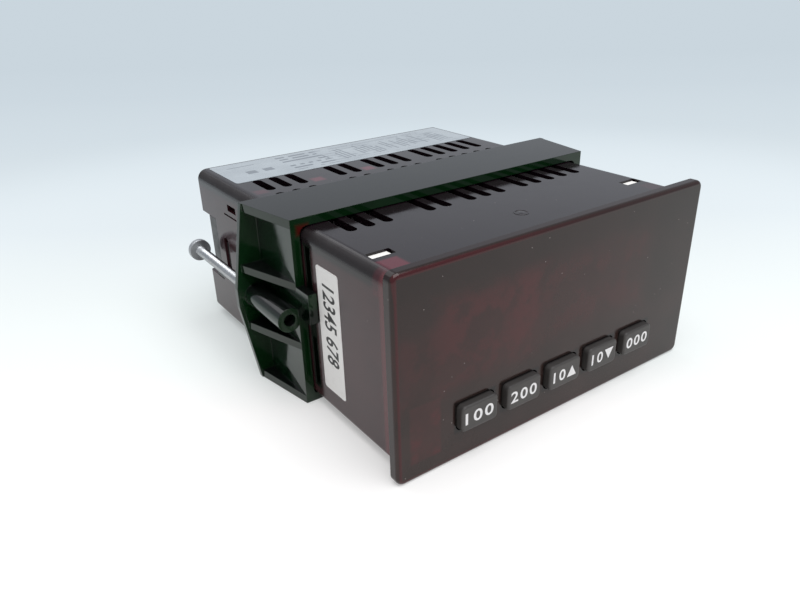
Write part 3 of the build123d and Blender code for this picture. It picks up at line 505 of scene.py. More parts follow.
def label_rows(made):
    """Mask of short bars in rows across the label, with gaps drawn at random for each cell and stretch."""
    kit = made.kit
    x, y, _ = kit.parts(made.mm)
    line = kit.math("DIVIDE", y, ROW_PITCH)
    row, across_row = kit.math("FLOOR", line), kit.math("FRACT", line)
    bar = kit.times(kit.ramp(across_row, 0.2, 0.3), kit.ramp(across_row, 0.76, 0.66))
    cell = kit.math("FLOOR", kit.math("DIVIDE", x, CELL_WIDTH))
    stretch = kit.math("FLOOR", kit.math("DIVIDE", x, 11.0))
    mark = kit.add("ShaderNodeTexWhiteNoise", {"Vector": kit.joined(cell, row, 0.0)}).outputs[0]
    run = kit.add("ShaderNodeTexWhiteNoise", {"Vector": kit.joined(stretch, row, 3.0)}).outputs[0]
    inked = kit.times(kit.math("GREATER_THAN", mark, 0.28), kit.math("GREATER_THAN", run, 0.42))
    bars = kit.times(kit.times(bar, inked), made.zone(*ROW_FIELD))
    return kit.times(bars, kit.ramp(x, -7.0, -9.0, 0.35, 1.0))


def label_strokes(made):
    """Mask of strokes along the label, each with its own random start and end."""
    kit = made.kit
    x, y, _ = kit.parts(made.mm)
    line = kit.math("DIVIDE", x, STROKE_PITCH)
    column, within = kit.math("FLOOR", line), kit.math("FRACT", line)
    chance = kit.add("ShaderNodeTexWhiteNoise", {"Vector": kit.joined(column, 7.0, 0.0)}).outputs[1]
    chance = kit.add("ShaderNodeSeparateColor", {0: chance}).outputs
    stroke = kit.times(kit.ramp(within, 0.2, 0.3), kit.ramp(within, 0.65, 0.55))
    start = kit.math("MULTIPLY_ADD", chance[0], 5.0, 83.5)
    end = kit.math("MULTIPLY_ADD", chance[1], 6.0, 91.5)
    run = kit.times(kit.math("GREATER_THAN", y, start), kit.math("LESS_THAN", y, end))
    run = kit.times(run, kit.math("GREATER_THAN", chance[2], 0.3))
    return kit.times(kit.times(stroke, run), made.zone(*STROKE_FIELD))


def top_label_finish(look):
    """Silvered film with rows of faint grey bars and strokes, a short rule and two plain squares."""
    made = Finish("label_silver", roughness=0.34, edge=0.06)
    kit = made.kit
    height, tone, smudge = made.grain(0.2)
    base = kit.mix(kit.ramp(tone, 0.3, 0.7), rgba(look.label_tint), (0.34, 0.385, 0.425, 1))
    bars = kit.larger(kit.larger(label_rows(made), label_strokes(made)), made.zone(*LABEL_RULE))
    squares = kit.larger(*[made.zone(*square) for square in LABEL_SQUARES])
    ink = kit.larger(kit.times(bars, 0.75), kit.times(squares, 0.7))
    made.colour(kit.mix(ink, base, (0.12, 0.14, 0.17, 1)))
    made.rough(kit.ramp(smudge, 0.3, 0.75, 0.26, 0.42))
    made.bump(height, 0.1, 0.02)
    return made.material


def side_label_finish(look):
    """White film, satin, faintly creased and soiled in spots."""
    made = Finish("label_white", roughness=0.5, edge=0.06)
    kit = made.kit
    height, tone, smudge = made.grain(0.15)
    soil = kit.ramp(kit.noise(made.mm, 0.5, 4.0, 0.65), 0.5, 0.8)
    made.colour(kit.mix(kit.times(soil, 0.25), rgba(look.side_label_tint), (0.5, 0.49, 0.47, 1)))
    made.rough(kit.ramp(smudge, 0.3, 0.75, 0.42, 0.58))
    made.bump(kit.math("MULTIPLY_ADD", tone, 2.0, height), 0.15, 0.02)
    return made.material


def zinc_finish(look):
    """Bright zinc plate with turning marks and grey patches, duller at the head, soiled dark at the tip."""
    made = Finish("zinc_screw", roughness=0.25, metallic=1.0, edge=0.0)
    kit = made.kit
    tone = made.grain(0.15)[1]
    y = kit.parts(made.mm)[1]
    patch = kit.ramp(kit.noise(made.mm, 0.9, 4.0, 0.6), 0.4, 0.75)
    colour = kit.mix(patch, rgba(look.zinc_tint), (0.38, 0.39, 0.39, 1))
    colour = kit.mix(kit.ramp(tone, 0.4, 0.7, 0.0, 0.3), colour, (0.42, 0.46, 0.52, 1))
    made.colour(kit.mix(kit.ramp(y, *SOILED_TIP), colour, (0.02, 0.02, 0.02, 1)))
    turned = kit.noise(kit.vector("MULTIPLY", made.mm, (0.6, 9.0, 0.6)), 1.0, 2.0, 0.5)
    dull = kit.ramp(y, *DULL_HEAD, 0.0, 0.18)
    made.rough(kit.math("ADD", dull, kit.ramp(turned, 0.3, 0.7, 0.26, 0.4)))
    made.bump(turned, 0.15, 0.01)
    return made.material


def moulding_finish(name, tint, dark, size=0.25, low=0.4, high=0.6, depth=0.03, strength=0.2, edge=0.15,
                    dust=0.25):
    """Plain moulded piece: two close tones, grain, dust, satin unevenness, softened edges."""
    made = Finish(name, roughness=0.5 * (low + high), edge=edge)
    kit = made.kit
    height, tone, smudge = made.grain(size)
    colour = kit.mix(kit.ramp(tone, 0.3, 0.7), rgba(tint), rgba(dark))
    specks = made.dust(2.3, 0.09, 0.2)
    made.colour(kit.mix(kit.times(specks, dust), colour, (0.45, 0.44, 0.42, 1)))
    made.rough(kit.ramp(smudge, 0.3, 0.75, low, high))
    made.bump(height, strength, depth)
    return made.material


def board_finish():
    """Lacquered circuit board: tracks as raised bands, with plated pads between them."""
    made = Finish("board_green", roughness=0.35, edge=0.08)
    kit = made.kit
    height, tone, smudge = made.grain(0.4)
    tracks = kit.add("ShaderNodeTexBrick", {"Vector": made.mm, "Scale": 0.35, "Mortar Size": 0.06,
                                            "Mortar Smooth": 0.2, "Brick Width": 0.9, "Row Height": 0.4})
    copper = tracks.outputs[1]
    base = kit.mix(kit.ramp(tone, 0.3, 0.7), (0.012, 0.075, 0.03, 1), (0.008, 0.05, 0.022, 1))
    colour = kit.mix(kit.times(copper, 0.6), base, (0.03, 0.15, 0.05, 1))
    made.colour(kit.mix(made.dust(1.9, 0.42, 0.3), colour, (0.62, 0.6, 0.55, 1)))
    made.rough(kit.ramp(smudge, 0.3, 0.75, 0.28, 0.45))
    made.bump(kit.math("MULTIPLY_ADD", copper, 1.5, height), 0.3, 0.03)
    return made.material


def winding_finish():
    """Yellow tape wound in turns: bands along its length, darker and lower at each edge where the turns
    overlap.
    """
    made = Finish("winding_tape", roughness=0.3, edge=0.1)
    kit = made.kit
    _, tone, smudge = made.grain(0.3)
    z = kit.parts(made.mm)[2]
    turn = kit.math("FRACT", kit.math("DIVIDE", z, TAPE_PITCH))
    lap = kit.times(kit.ramp(turn, 0.0, 0.08), kit.ramp(turn, 1.0, 0.92))
    colour = kit.mix(lap, (0.42, 0.22, 0.02, 1), (0.62, 0.38, 0.05, 1))
    made.colour(kit.mix(kit.ramp(tone, 0.3, 0.7, 0.0, 0.3), colour, (0.5, 0.28, 0.03, 1)))
    made.rough(kit.ramp(smudge, 0.3, 0.75, 0.22, 0.4))
    made.bump(lap, 0.4, 0.06)
    return made.material


def digit_finish():
    """Red tinted digit block, its bars paler than its face."""
    made = Finish("digit_red", roughness=0.3, edge=0.1)
    kit = made.kit
    height, tone, smudge = made.grain(0.25)
    bars = kit.ramp(kit.parts(made.mm)[1], 0.42, 0.55)
    face = kit.mix(kit.ramp(tone, 0.3, 0.7), (0.045, 0.006, 0.006, 1), (0.03, 0.004, 0.004, 1))
    made.colour(kit.mix(bars, face, (0.42, 0.05, 0.04, 1)))
    made.rough(kit.ramp(smudge, 0.3, 0.75, 0.22, 0.4))
    made.bump(height, 0.1, 0.02)
    return made.material


def clamp_finish():
    """Tin plated clamps and screws of the terminals: metal in two close tones, unevenly polished."""
    made = Finish("terminal_metal", roughness=0.3, metallic=1.0, edge=0.08)
    kit = made.kit
    height, tone, smudge = made.grain(0.2)
    made.colour(kit.mix(kit.ramp(tone, 0.3, 0.7), (0.7, 0.69, 0.66, 1), (0.55, 0.54, 0.51, 1)))
    made.rough(kit.ramp(smudge, 0.3, 0.75, 0.24, 0.42))
    made.bump(height, 0.15, 0.02)
    return made.material


# surfaces


def mesh_piece(name, points, faces, material, body, smooth=False):
    """Object at the origin from whole arrays of points (metres) and faces, riding on a CAD body."""
    mesh = bpy.data.meshes.new(name)
    mesh.from_pydata(np.asarray(points).tolist(), [], [tuple(int(i) for i in f) for f in faces])
    mesh.validate()
    if smooth:
        mesh.polygons.foreach_set("use_smooth", [True] * len(mesh.polygons))
    mesh.materials.append(material)
    piece = bpy.data.objects.new(name, mesh)
    bpy.context.scene.collection.objects.link(piece)
    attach(piece, body)
    return piece


def grid_faces(rows, columns):
    """Faces of a grid whose columns close on themselves, row by row, outward when rows run from the
    first pole to the last and columns turn the left way round the axis."""
    row, column = np.meshgrid(np.arange(rows - 1), np.arange(columns), indexing="ij")
    after = (column + 1) % columns
    a = row * columns + column
    b = row * columns + after
    return np.stack([a, b, b + columns, a + columns], axis=-1).reshape(-1, 4)


def revolved(radii, along, columns):
    """Points of a profile turned about the Y axis: radius and distance along Y may each be one number a
    row or a whole array of rows and columns; the point is (r cos t, y, r sin t)."""
    turn = np.arange(columns) * 2 * np.pi / columns
    r = np.broadcast_to(radii, (len(along), columns))
    y = np.broadcast_to(along, (len(along), columns))
    return np.stack([r * np.cos(turn), y, r * np.sin(turn)], axis=-1)


def gate_ring(radius, top, columns=48):
    """Ring that a moulding gate leaves, with a pip in its middle: a half circle of 0.22 mm by 0.1 mm turned
    about the vertical at the given radius, then flat, up to the pip and closed at its centre."""
    bend = np.linspace(0, np.pi, 7)
    ring = np.concatenate([radius + 0.22 * np.cos(bend), [radius - 0.4, 0.45, 0.3, 0.04]])
    level = np.concatenate([0.1 * np.sin(bend), [0.004, 0.004, 0.05, 0.05]])
    points = revolved(ring[:, None], level[:, None], columns)[..., [0, 2, 1]] * (1, -1, 1)
    points = (points + (*GATE_PLACE, top)).reshape(-1, 3)
    faces = list(map(tuple, grid_faces(len(ring), columns)))
    faces.append(tuple(len(points) - columns + i for i in range(columns)))
    return points, faces


def threaded_screw(place_x, tip_y, under_head_y, head_back_y, size):
    """Machine screw along +Y as one closed surface. Its radius is the crest less the thread's depth times
    a rounded triangle wave of (distance along / pitch - turn), faded out near tip and head; then come the
    underside, rim and dome of the head, whose top dips inside a tapered cross."""
    columns = 40
    turn = np.arange(columns) / columns
    along = np.arange(tip_y, under_head_y, size.thread_pitch / 6)
    phase = along[:, None] / size.thread_pitch - turn[None, :]
    wave = np.abs(2 * (phase - np.floor(phase)) - 1)
    groove = np.clip((0.92 - wave) / 0.84, 0, 1)
    near_tip = np.clip((along - tip_y) / (2 * size.thread_pitch), 0, 1)[:, None]
    near_head = np.clip((under_head_y - along) / size.thread_pitch, 0, 1)[:, None]
    radius = size.screw_radius - size.thread_depth * (1 - (1 - groove) * near_tip) * near_head
    shank = revolved(radius, along[:, None], columns)
    head_r = size.head_radius
    dome = head_back_y - under_head_y
    angle = np.linspace(0, np.pi / 2, 12)
    rim_r = head_r - size.head_round * (1 - np.cos(angle))
    rim_y = head_back_y - size.head_round + size.head_round * np.sin(angle)
    under = [0.97 * size.screw_radius, 1.02 * size.screw_radius, 1.1 * size.screw_radius, 0.5 * head_r + 0.7,
             head_r - 0.3, head_r - 0.18, head_r - 0.12, head_r, head_r]
    flat_r = np.concatenate([under, rim_r, np.linspace(rim_r[-1], 0.02 * head_r, 22)[1:]])
    flat_y = np.concatenate([np.full(7, under_head_y), under_head_y + np.array([0.06, 0.12]) * dome,
                             rim_y, np.full(21, head_back_y)])
    head = revolved(flat_r[:, None], flat_y[:, None], columns)
    cross_x, cross_z = np.abs(head[..., 0]), np.abs(head[..., 2])
    arm = np.minimum(np.maximum(cross_x / size.recess_reach, cross_z / size.recess_half_width),
                     np.maximum(cross_x / size.recess_half_width, cross_z / size.recess_reach))
    dip = np.clip((1.15 - arm) / 0.5, 0, 1)
    on_top = np.arange(len(flat_r)) >= len(under) + len(rim_r)
    head[..., 1] -= np.where(on_top[:, None], size.recess_depth * dip, 0)
    tip = revolved(np.array([0.02, 0.7])[:, None] * radius[0].mean(), np.full((2, 1), tip_y), columns)
    grid = np.concatenate([tip, shank, head])
    grid[..., 0] += place_x
    points = grid.reshape(-1, 3)
    faces = [tuple(f[::-1]) for f in grid_faces(len(grid), columns)]
    ends = [tuple(range(columns)), tuple(len(points) - 1 - i for i in range(columns))]
    return points, faces + ends


def written(text, width, height, thickness, heavier, spacing=1.0, slant=0.0):
    """Outline of plain figures as a mesh in its own plane: (n, 3) points centred on the origin."""
    curve = bpy.data.curves.new("figures", "FONT")
    curve.body = text
    curve.size = 1.0
    curve.extrude = 0.5
    curve.offset = heavier
    curve.space_character = spacing
    curve.shear = slant
    curve.resolution_u = 4
    holder = bpy.data.objects.new("figures", curve)
    bpy.context.scene.collection.objects.link(holder)
    bpy.context.view_layer.update()
    mesh = bpy.data.meshes.new_from_object(holder)
    points = np.zeros(len(mesh.vertices) * 3)
    mesh.vertices.foreach_get("co", points)
    points = points.reshape(-1, 3)
    faces = [tuple(p.vertices) for p in mesh.polygons]
    bpy.data.objects.remove(holder)
    bpy.data.curves.remove(curve)
    bpy.data.meshes.remove(mesh)
    low, high = points.min(0), points.max(0)
    points -= (low + high) / 2
    points *= np.array((width, height, thickness)) / (high - low)
    return points, faces


def triangle(centre, width, height, thickness, upward):
    """Three-sided prism whose point is up or down, its face in the plane of x and y."""
    half = width / 2
    sign = 1 if upward else -1
    flat = np.array([(-half, -sign * height / 2), (half, -sign * height / 2), (0, sign * height / 2)])
    if not upward:
        flat = flat[::-1]
    flat = flat + np.array(centre)
    points = np.concatenate([np.column_stack([flat, np.full(3, thickness / 2)]),
                             np.column_stack([flat, np.full(3, -thickness / 2)])])
    faces = [(0, 1, 2), (5, 4, 3), (0, 3, 4, 1), (1, 4, 5, 2), (2, 5, 3, 0)]
    return points, faces


def together(*shapes):
    """One list of points and faces from several."""
    points, faces, start = [], [], 0
    for some, joined in shapes:
        points.append(some)
        faces += [tuple(start + i for i in face) for face in joined]
        start += len(some)
    return np.concatenate(points), faces


# settings


class MeterLook(bpy.types.PropertyGroup):
    """Colours of the meter's finishes."""

    case_tint: bpy.props.FloatVectorProperty(
        name="Case", description="Smoked moulding of the case", subtype="COLOR", min=0, max=1,
        default=(0.038, 0.012, 0.015))
    top_tint: bpy.props.FloatVectorProperty(
        name="Case top", description="Smoked moulding of the case's top", subtype="COLOR", min=0, max=1,
        default=(0.0078, 0.0036, 0.0060))
    front_tint: bpy.props.FloatVectorProperty(
        name="Front", description="Smoked window at the front", subtype="COLOR", min=0, max=1,
        default=(0.030, 0.015, 0.013))
    # green of the latch's forward faces, a painted shade tint
    latch_shade_tint: bpy.props.FloatVectorProperty(
        name="Latch", description="Polished black of the latch frame", subtype="COLOR", min=0, max=1,
        default=(0.0045, 0.024, 0.007))
    key_tint: bpy.props.FloatVectorProperty(
        name="Keys", description="Silicone rubber of the keys", subtype="COLOR", min=0, max=1,
        default=(0.050, 0.046, 0.044))
    legend_tint: bpy.props.FloatVectorProperty(
        name="Legends", description="White print on the keys", subtype="COLOR", min=0, max=1,
        default=(0.82, 0.82, 0.83))
    label_tint: bpy.props.FloatVectorProperty(
        name="Top label", description="Silvered film on the top of the case", subtype="COLOR", min=0, max=1,
        default=(0.385, 0.435, 0.475))
    side_label_tint: bpy.props.FloatVectorProperty(
        name="Side label", description="White film on the side of the case", subtype="COLOR", min=0, max=1,
        default=(0.80, 0.80, 0.79))
    zinc_tint: bpy.props.FloatVectorProperty(
        name="Zinc", description="Zinc plate of the screws", subtype="COLOR", min=0, max=1,
        default=(0.46, 0.47, 0.48))


class MeterSizes(bpy.types.PropertyGroup):
    """Sizes of the pieces made here, in millimetres."""

    screw_radius: bpy.props.FloatProperty(
        name="Screw radius", description="Radius over the crests of the thread, mm", default=1.49,
        min=1, max=1.5)
    thread_pitch: bpy.props.FloatProperty(
        name="Thread pitch", description="Distance from crest to crest, mm", default=0.5, min=0.3, max=1)
    thread_depth: bpy.props.FloatProperty(
        name="Thread depth", description="Depth of the thread's groove, mm", default=0.27, min=0.1, max=0.4)
    head_radius: bpy.props.FloatProperty(
        name="Head radius", description="Radius of the screw's head, mm", default=3.2, min=2, max=3.5)
    head_round: bpy.props.FloatProperty(
        name="Head rounding", description="Radius of the head's rounded edge, mm", default=1.0,
        min=0.2, max=2)
    recess_reach: bpy.props.FloatProperty(
        name="Recess reach", description="Length of each arm of the cross recess, mm", default=1.75,
        min=1, max=2.5)
    recess_half_width: bpy.props.FloatProperty(
        name="Recess half width", description="Half the width of each arm of the cross, mm", default=0.48,
        min=0.2, max=0.8)
    recess_depth: bpy.props.FloatProperty(
        name="Recess depth", description="Depth of the cross recess, mm", default=1.3, min=0.5, max=1.8)
    legend_height: bpy.props.FloatProperty(
        name="Legend height", description="Height of the figures on the keys, mm", default=3.0, min=1, max=6)
    legend_width: bpy.props.FloatProperty(
        name="Legend width", description="Width of the print on a key, mm", default=8.1, min=3, max=10)
    legend_stand: bpy.props.FloatProperty(
        name="Legend thickness", description="How far printed figures stand proud, mm", default=0.03,
        min=0.01, max=0.1)
    number_height: bpy.props.FloatProperty(
        name="Number height", description="Height of the figures on the side label, mm", default=5.4,
        min=2, max=8)
    number_length: bpy.props.FloatProperty(
        name="Number length", description="Length of the number on the side label, mm", default=20.7,
        min=8, max=28)
    mark_radius: bpy.props.FloatProperty(
        name="Mould mark", description="Radius of the moulding gate's ring on the top, mm", default=1.65,
        min=0.5, max=3)


def apply_finish(material, *nodes):
    """Gives CAD nodes their finish in place of the frame's plain one."""
    for node in nodes:
        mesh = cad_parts[node].data
        mesh.materials.clear()
        mesh.materials.append(material)


class METER_OT_case(bpy.types.Operator):
    """Finishes the bezel and case, with the ring that the moulding gate left on its top"""

    bl_idname = "meter.case"
    bl_label = "Case"

    def execute(self, context):
        smoked = smoked_case_finish(context.scene.meter_look)
        apply_finish(smoked, "bezel_case")
        top = 1000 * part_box("rating_label")[0].z
        points, faces = gate_ring(context.scene.meter_sizes.mark_radius, top)
        mesh_piece("mould_mark", points * MM, faces, smoked, "meter", smooth=True)
        return {"FINISHED"}


class METER_OT_latch(bpy.types.Operator):
    """Finishes the latch frame"""

    bl_idname = "meter.latch"
    bl_label = "Latch frame"

    def execute(self, context):
        apply_finish(latch_finish(context.scene.meter_look), "panel_latch")
        return {"FINISHED"}


class METER_OT_screws(bpy.types.Operator):
    """Makes both panel screws with their threads and cross recesses"""

    bl_idname = "meter.screws"
    bl_label = "Panel screws"

    def execute(self, context):
        size = context.scene.meter_sizes
        zinc = zinc_finish(context.scene.meter_look)
        for side in ("left", "right"):
            node = "panel_screw_" + side
            low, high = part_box(node)
            centre, tip, back = 500 * (low.x + high.x), 1000 * low.y, 1000 * high.y
            points, faces = threaded_screw(centre, tip, back - SCREW_HEAD, back, size)
            piece = mesh_piece("threaded_screw_" + side, points * MM, faces, zinc, "screw_" + side,
                               smooth=True)
            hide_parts(node)
        return {"FINISHED"}


class METER_OT_keys(bpy.types.Operator):
    """Finishes the rubber keys and prints plain figures and triangles on them"""

    bl_idname = "meter.keys"
    bl_label = "Keys"

    def execute(self, context):
        look, size = context.scene.meter_look, context.scene.meter_sizes
        apply_finish(key_finish(look), *["key_" + str(i) for i in range(1, 6)])
        apply_finish(moulding_finish("mat_rubber", (0.03, 0.03, 0.03), (0.02, 0.02, 0.02)), "keypad_mat")
        white = print_finish("legend_white", look.legend_tint, 0.35)
        legends = [("100", None), ("200", None), ("10", True), ("10", False), ("000", None)]
        for i, (figures, upward) in enumerate(legends, start=1):
            low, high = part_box("key_" + str(i))
            width = size.legend_width * (1.0 if upward is None else 0.5)
            shape = written(figures, width, size.legend_height, size.legend_stand, 0.014, 1.2)
            if upward is not None:
                mark = triangle((0.3 * size.legend_width, 0.0), 0.38 * size.legend_width,
                                0.95 * size.legend_height, size.legend_stand, upward)
                shape[0][:, 0] -= 0.22 * size.legend_width
                shape = together(shape, mark)
            flat, faces = shape
            centre = ((low.x + high.x) * 500 - 0.25, 1000 * low.y - 0.45 * size.legend_stand,
                      (low.z + high.z) * 500 + 0.05)
            points = np.stack([flat[:, 0], -flat[:, 2], flat[:, 1]], axis=1) + centre
            mesh_piece("key_legend_" + str(i), points * MM, faces, white, "key_" + str(i))
        return {"FINISHED"}


class METER_OT_labels(bpy.types.Operator):
    """Finishes both labels and prints a plain number down the side one"""

    bl_idname = "meter.labels"
    bl_label = "Labels"

    def execute(self, context):
        look, size = context.scene.meter_look, context.scene.meter_sizes
        apply_finish(top_label_finish(look), "rating_label")
        apply_finish(side_label_finish(look), "side_label")
        low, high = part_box("side_label")
        ink = print_finish("number_black", (0.02, 0.02, 0.021), 0.2)
        flat, faces = written("12345 678", size.number_length, size.number_height, size.legend_stand, 0.016,
                              1.05, 0.1)
        points = -flat[:, ::-1]
        centre = (1000 * low.x - 0.45 * size.legend_stand, 500 * (low.y + high.y) - 0.2,
                  500 * (low.z + high.z) + 1.9)
        mesh_piece("side_number", (points + centre) * MM, faces, ink, "meter")
        return {"FINISHED"}


class METER_OT_display(bpy.types.Operator):
    """Finishes the display carrier, the digits and the light blocks"""

    bl_idname = "meter.display"
    bl_label = "Display"

    def execute(self, context):
        white = moulding_finish("carrier_white", (0.86, 0.86, 0.84), (0.78, 0.78, 0.76), dust=0.1)
        apply_finish(white, "display_carrier")
        apply_finish(digit_finish(), *["digit_" + str(i) for i in range(1, 6)])
        clear = moulding_finish("lamp_clear", (0.6, 0.57, 0.54), (0.5, 0.47, 0.45), low=0.2, high=0.35)
        apply_finish(clear, "side_lamps", "units_backlight")
        return {"FINISHED"}


class METER_OT_boards(bpy.types.Operator):
    """Finishes both circuit boards and what stands on them"""

    bl_idname = "meter.boards"
    bl_label = "Boards"

    def execute(self, context):
        apply_finish(board_finish(), "display_board", "main_board")
        plain = [
            ("connector_black", (0.03, 0.03, 0.032), (0.02, 0.02, 0.021), 0.35, 0.5,
             ["board_link", "option_connector_1", "option_connector_2", "option_connector_3",
              "range_jumpers"]),
            ("ferrite", (0.04, 0.04, 0.043), (0.025, 0.025, 0.027), 0.45, 0.65, ["transformer_core"]),
            ("capacitor_sleeve", (0.012, 0.016, 0.04), (0.008, 0.01, 0.028), 0.2, 0.35,
             ["supply_capacitor", "filter_capacitor"]),
            ("film_orange", (0.75, 0.12, 0.012), (0.6, 0.085, 0.008), 0.2, 0.35, ["film_capacitor"]),
            ("chip_black", (0.02, 0.02, 0.02), (0.013, 0.013, 0.013), 0.45, 0.6,
             ["processor_chip", "converter_chip"]),
        ]
        for name, tint, dark, low, high, nodes in plain:
            apply_finish(moulding_finish(name, tint, dark, low=low, high=high), *nodes)
        apply_finish(winding_finish(), "transformer_winding")
        return {"FINISHED"}


class METER_OT_rear(bpy.types.Operator):
    """Finishes the rear cover and the plug-on terminals"""

    bl_idname = "meter.rear"
    bl_label = "Rear"

    def execute(self, context):
        cover = moulding_finish("cover_black", (0.022, 0.021, 0.022), (0.014, 0.0135, 0.014), size=0.2,
                                low=0.32, high=0.48, strength=0.35)
        apply_finish(cover, "rear_cover")
        green = moulding_finish("terminal_green", (0.02, 0.13, 0.045), (0.014, 0.1, 0.034), low=0.35,
                                high=0.5)
        apply_finish(green, "input_terminal_block", "power_terminal_block", "input_header", "power_header")
        apply_finish(clamp_finish(), "terminal_screws", "terminal_clamps")
        return {"FINISHED"}


def backdrop_material():
    """Floor that takes the object's shadow. Seen straight or in a reflection it is also lit by its own
    paint, which goes from white near the object to a pale blue grey far behind it."""
    material = bpy.data.materials.new("studio_floor")
    material.use_nodes = True
    material.node_tree.nodes.clear()
    kit = NodeKit(material.node_tree)
    where = kit.add("ShaderNodeTexCoord").outputs["Object"]
    x, y, _ = kit.parts(kit.scaled(where, 1000.0))
    along = kit.math("MULTIPLY_ADD", x, 0.569, kit.times(y, 0.822))
    distance = kit.add("ShaderNodeVectorMath", {0: kit.joined(x, kit.minus(y, 50.0), 0.0)},
                       operation="LENGTH").outputs["Value"]
    along = kit.larger(along, kit.minus(distance, 350.0))
    paint = kit.add("ShaderNodeValToRGB", {0: kit.math("DIVIDE", along, 700.0, clamp=True)})
    stops = [(0.0, (1.0, 1.0, 1.0)), (0.033, (0.92, 0.97, 0.97)), (0.1, (0.84, 0.90, 0.91)),
             (0.2, (0.74, 0.81, 0.85)), (0.45, (0.655, 0.735, 0.79)), (0.7, (0.61, 0.69, 0.75)),
             (1.0, FAR_PAINT)]
    band = paint.color_ramp
    band.elements[0].position, band.elements[1].position = stops[0][0], stops[-1][0]
    band.elements[0].color, band.elements[1].color = rgba(stops[0][1]), rgba(stops[-1][1])
    for position, colour in stops[1:-1]:
        band.elements.new(position).color = rgba(colour)
    near = kit.ramp(distance, 340.0, 120.0)
    matte = kit.add("ShaderNodeBsdfDiffuse", {0: kit.scaled(paint.outputs[0], 0.8)})
    shown = kit.add("ShaderNodeEmission", {0: paint.outputs[0], 1: kit.math("MULTIPLY_ADD", near, 0.35, 1.0)})
    path = kit.add("ShaderNodeLightPath").outputs
    seen = kit.larger(path["Is Camera Ray"], path["Is Glossy Ray"])
    seen = kit.larger(seen, path["Is Transmission Ray"])
    share = kit.times(seen, kit.math("MULTIPLY_ADD", near, -0.75, 1.0))
    both = kit.add("ShaderNodeMixShader", {0: share, 1: matte.outputs[0], 2: shown.outputs[0]})
    kit.add("ShaderNodeOutputMaterial", {0: both.outputs[0]})
    return material


def floor_piece():
    """Flat square grid at the floor's level, FLOOR_REACH to each side of the origin."""
    reach = np.linspace(-FLOOR_REACH, FLOOR_REACH, 9)
    gx, gy = np.meshgrid(reach, reach, indexing="ij")
    points = np.stack([gx, gy, np.full_like(gx, FLOOR_Z)], axis=-1).reshape(-1, 3)
    row, column = np.meshgrid(np.arange(8), np.arange(8), indexing="ij")
    a = (row * 9 + column).ravel()
    faces = np.stack([a, a + 9, a + 10, a + 1], axis=1)
    mesh = bpy.data.meshes.new("floor")
    mesh.from_pydata(points.tolist(), [], faces.tolist())
    mesh.materials.append(backdrop_material())
    floor = bpy.data.objects.new("floor", mesh)
    bpy.context.scene.collection.objects.link(floor)


def soft_light(name, place, aim, width, power):
    """Square area light at its place, turned to its aim."""
    light = bpy.data.lights.new(name, "AREA")
    light.shape, light.size, light.energy = "SQUARE", width, power
    lamp = bpy.data.objects.new(name, light)
    back = np.array(place) - np.array(aim)
    back = back / np.linalg.norm(back)
    right = np.cross((0, 1, 0), back)
    right = right / np.linalg.norm(right)
    turn = np.column_stack([right, np.cross(back, right), back])
    lamp.matrix_world = Matrix.Translation(place) @ Matrix(turn.tolist()).to_4x4()
    bpy.context.scene.collection.objects.link(lamp)


def studio_world():
    """World of three plain backgrounds: one that lights, one for reflections and one that is seen."""
    world = bpy.data.worlds.new("studio_world")
    world.use_nodes = True
    world.node_tree.nodes.clear()
    kit = NodeKit(world.node_tree)
    path = kit.add("ShaderNodeLightPath").outputs
    mirrored = kit.larger(path["Is Glossy Ray"], path["Is Transmission Ray"])
    fill = kit.add("ShaderNodeBackground", {0: (1.0, 0.968, 0.96, 1), 1: 0.35})
    room = kit.add("ShaderNodeBackground", {0: (0.475, 0.503, 0.545, 1), 1: 1.0})
    shown = kit.add("ShaderNodeBackground", {0: rgba(FAR_PAINT), 1: 1.0})
    lit = kit.add("ShaderNodeMixShader", {0: mirrored, 1: fill.outputs[0], 2: room.outputs[0]})
    seen = {0: path["Is Camera Ray"], 1: lit.outputs[0], 2: shown.outputs[0]}
    both = kit.add("ShaderNodeMixShader", seen)
    kit.add("ShaderNodeOutputWorld", {0: both.outputs[0]})
    return world


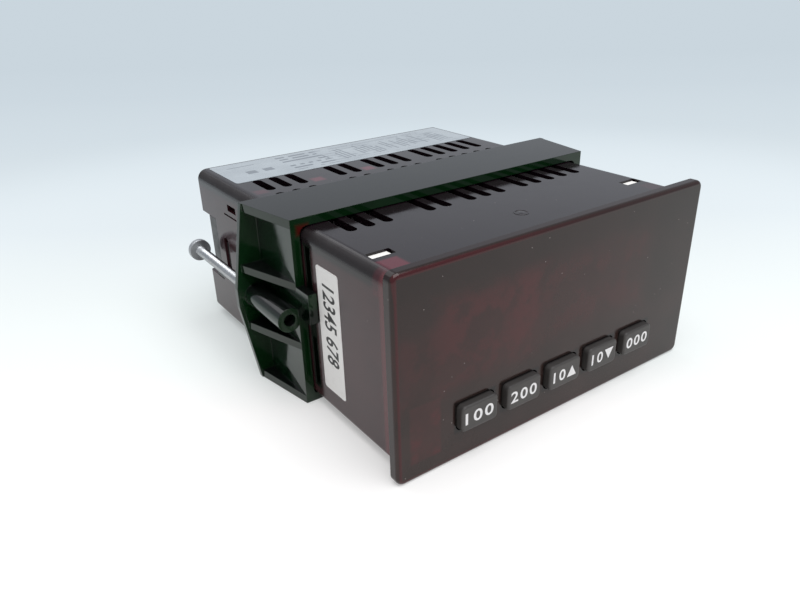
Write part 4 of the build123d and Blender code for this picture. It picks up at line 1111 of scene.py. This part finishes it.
def reference_camera():
    """Camera of the reference view, everything in focus."""
    camera = bpy.data.objects.new("camera", bpy.data.cameras.new("camera"))
    camera.data.lens = CAMERA_LENS
    camera.data.clip_start = 0.005
    camera.data.dof.use_dof = False
    turn = Matrix([CAMERA_RIGHT, CAMERA_UP, CAMERA_BACK]).transposed()
    camera.matrix_world = Matrix.Translation(CAMERA_PLACE) @ turn.to_4x4()
    bpy.context.scene.collection.objects.link(camera)
    return camera


class METER_OT_stage(bpy.types.Operator):
    """Makes the floor, the soft lights, the world and the camera"""

    bl_idname = "meter.stage"
    bl_label = "Stage"

    def execute(self, context):
        floor_piece()
        soft_light("soft_front", (0.0, -0.25, 0.83), (0, 0.03, 0), 0.9, 9.5)
        soft_light("soft_back", (-0.2, 0.7, 0.8), (0, 0.04, 0), 0.8, 2.0)
        context.scene.world = studio_world()
        context.scene.camera = reference_camera()
        context.scene.view_settings.view_transform = "Standard"
        return {"FINISHED"}


PIECES = ("case", "latch", "screws", "keys", "labels", "display", "boards", "rear", "stage")


class METER_PT_panel(bpy.types.Panel):
    """Sizes, colours and pieces of the panel meter"""

    bl_idname = "METER_PT_panel"
    bl_label = "Panel meter"
    bl_space_type = "VIEW_3D"
    bl_region_type = "UI"
    bl_category = "Panel meter"

    def draw(self, context):
        for group in (context.scene.meter_look, context.scene.meter_sizes):
            column = self.layout.column()
            for name in group.__annotations__:
                column.prop(group, name)
        for name in PIECES:
            self.layout.operator("meter." + name)


CLASSES = (MeterLook, MeterSizes, METER_OT_case, METER_OT_latch, METER_OT_screws, METER_OT_keys,
           METER_OT_labels, METER_OT_display, METER_OT_boards, METER_OT_rear, METER_OT_stage, METER_PT_panel)


def register():
    for kind in CLASSES:
        bpy.utils.register_class(kind)
    bpy.types.Scene.meter_look = bpy.props.PointerProperty(type=MeterLook)
    bpy.types.Scene.meter_sizes = bpy.props.PointerProperty(type=MeterSizes)


def unregister():
    del bpy.types.Scene.meter_sizes
    del bpy.types.Scene.meter_look
    for kind in reversed(CLASSES):
        bpy.utils.unregister_class(kind)


def main():
    """Registers the add-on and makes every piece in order."""
    register()
    for name in PIECES:
        getattr(bpy.ops.meter, name)()


if __name__ == "__main__":
    main()
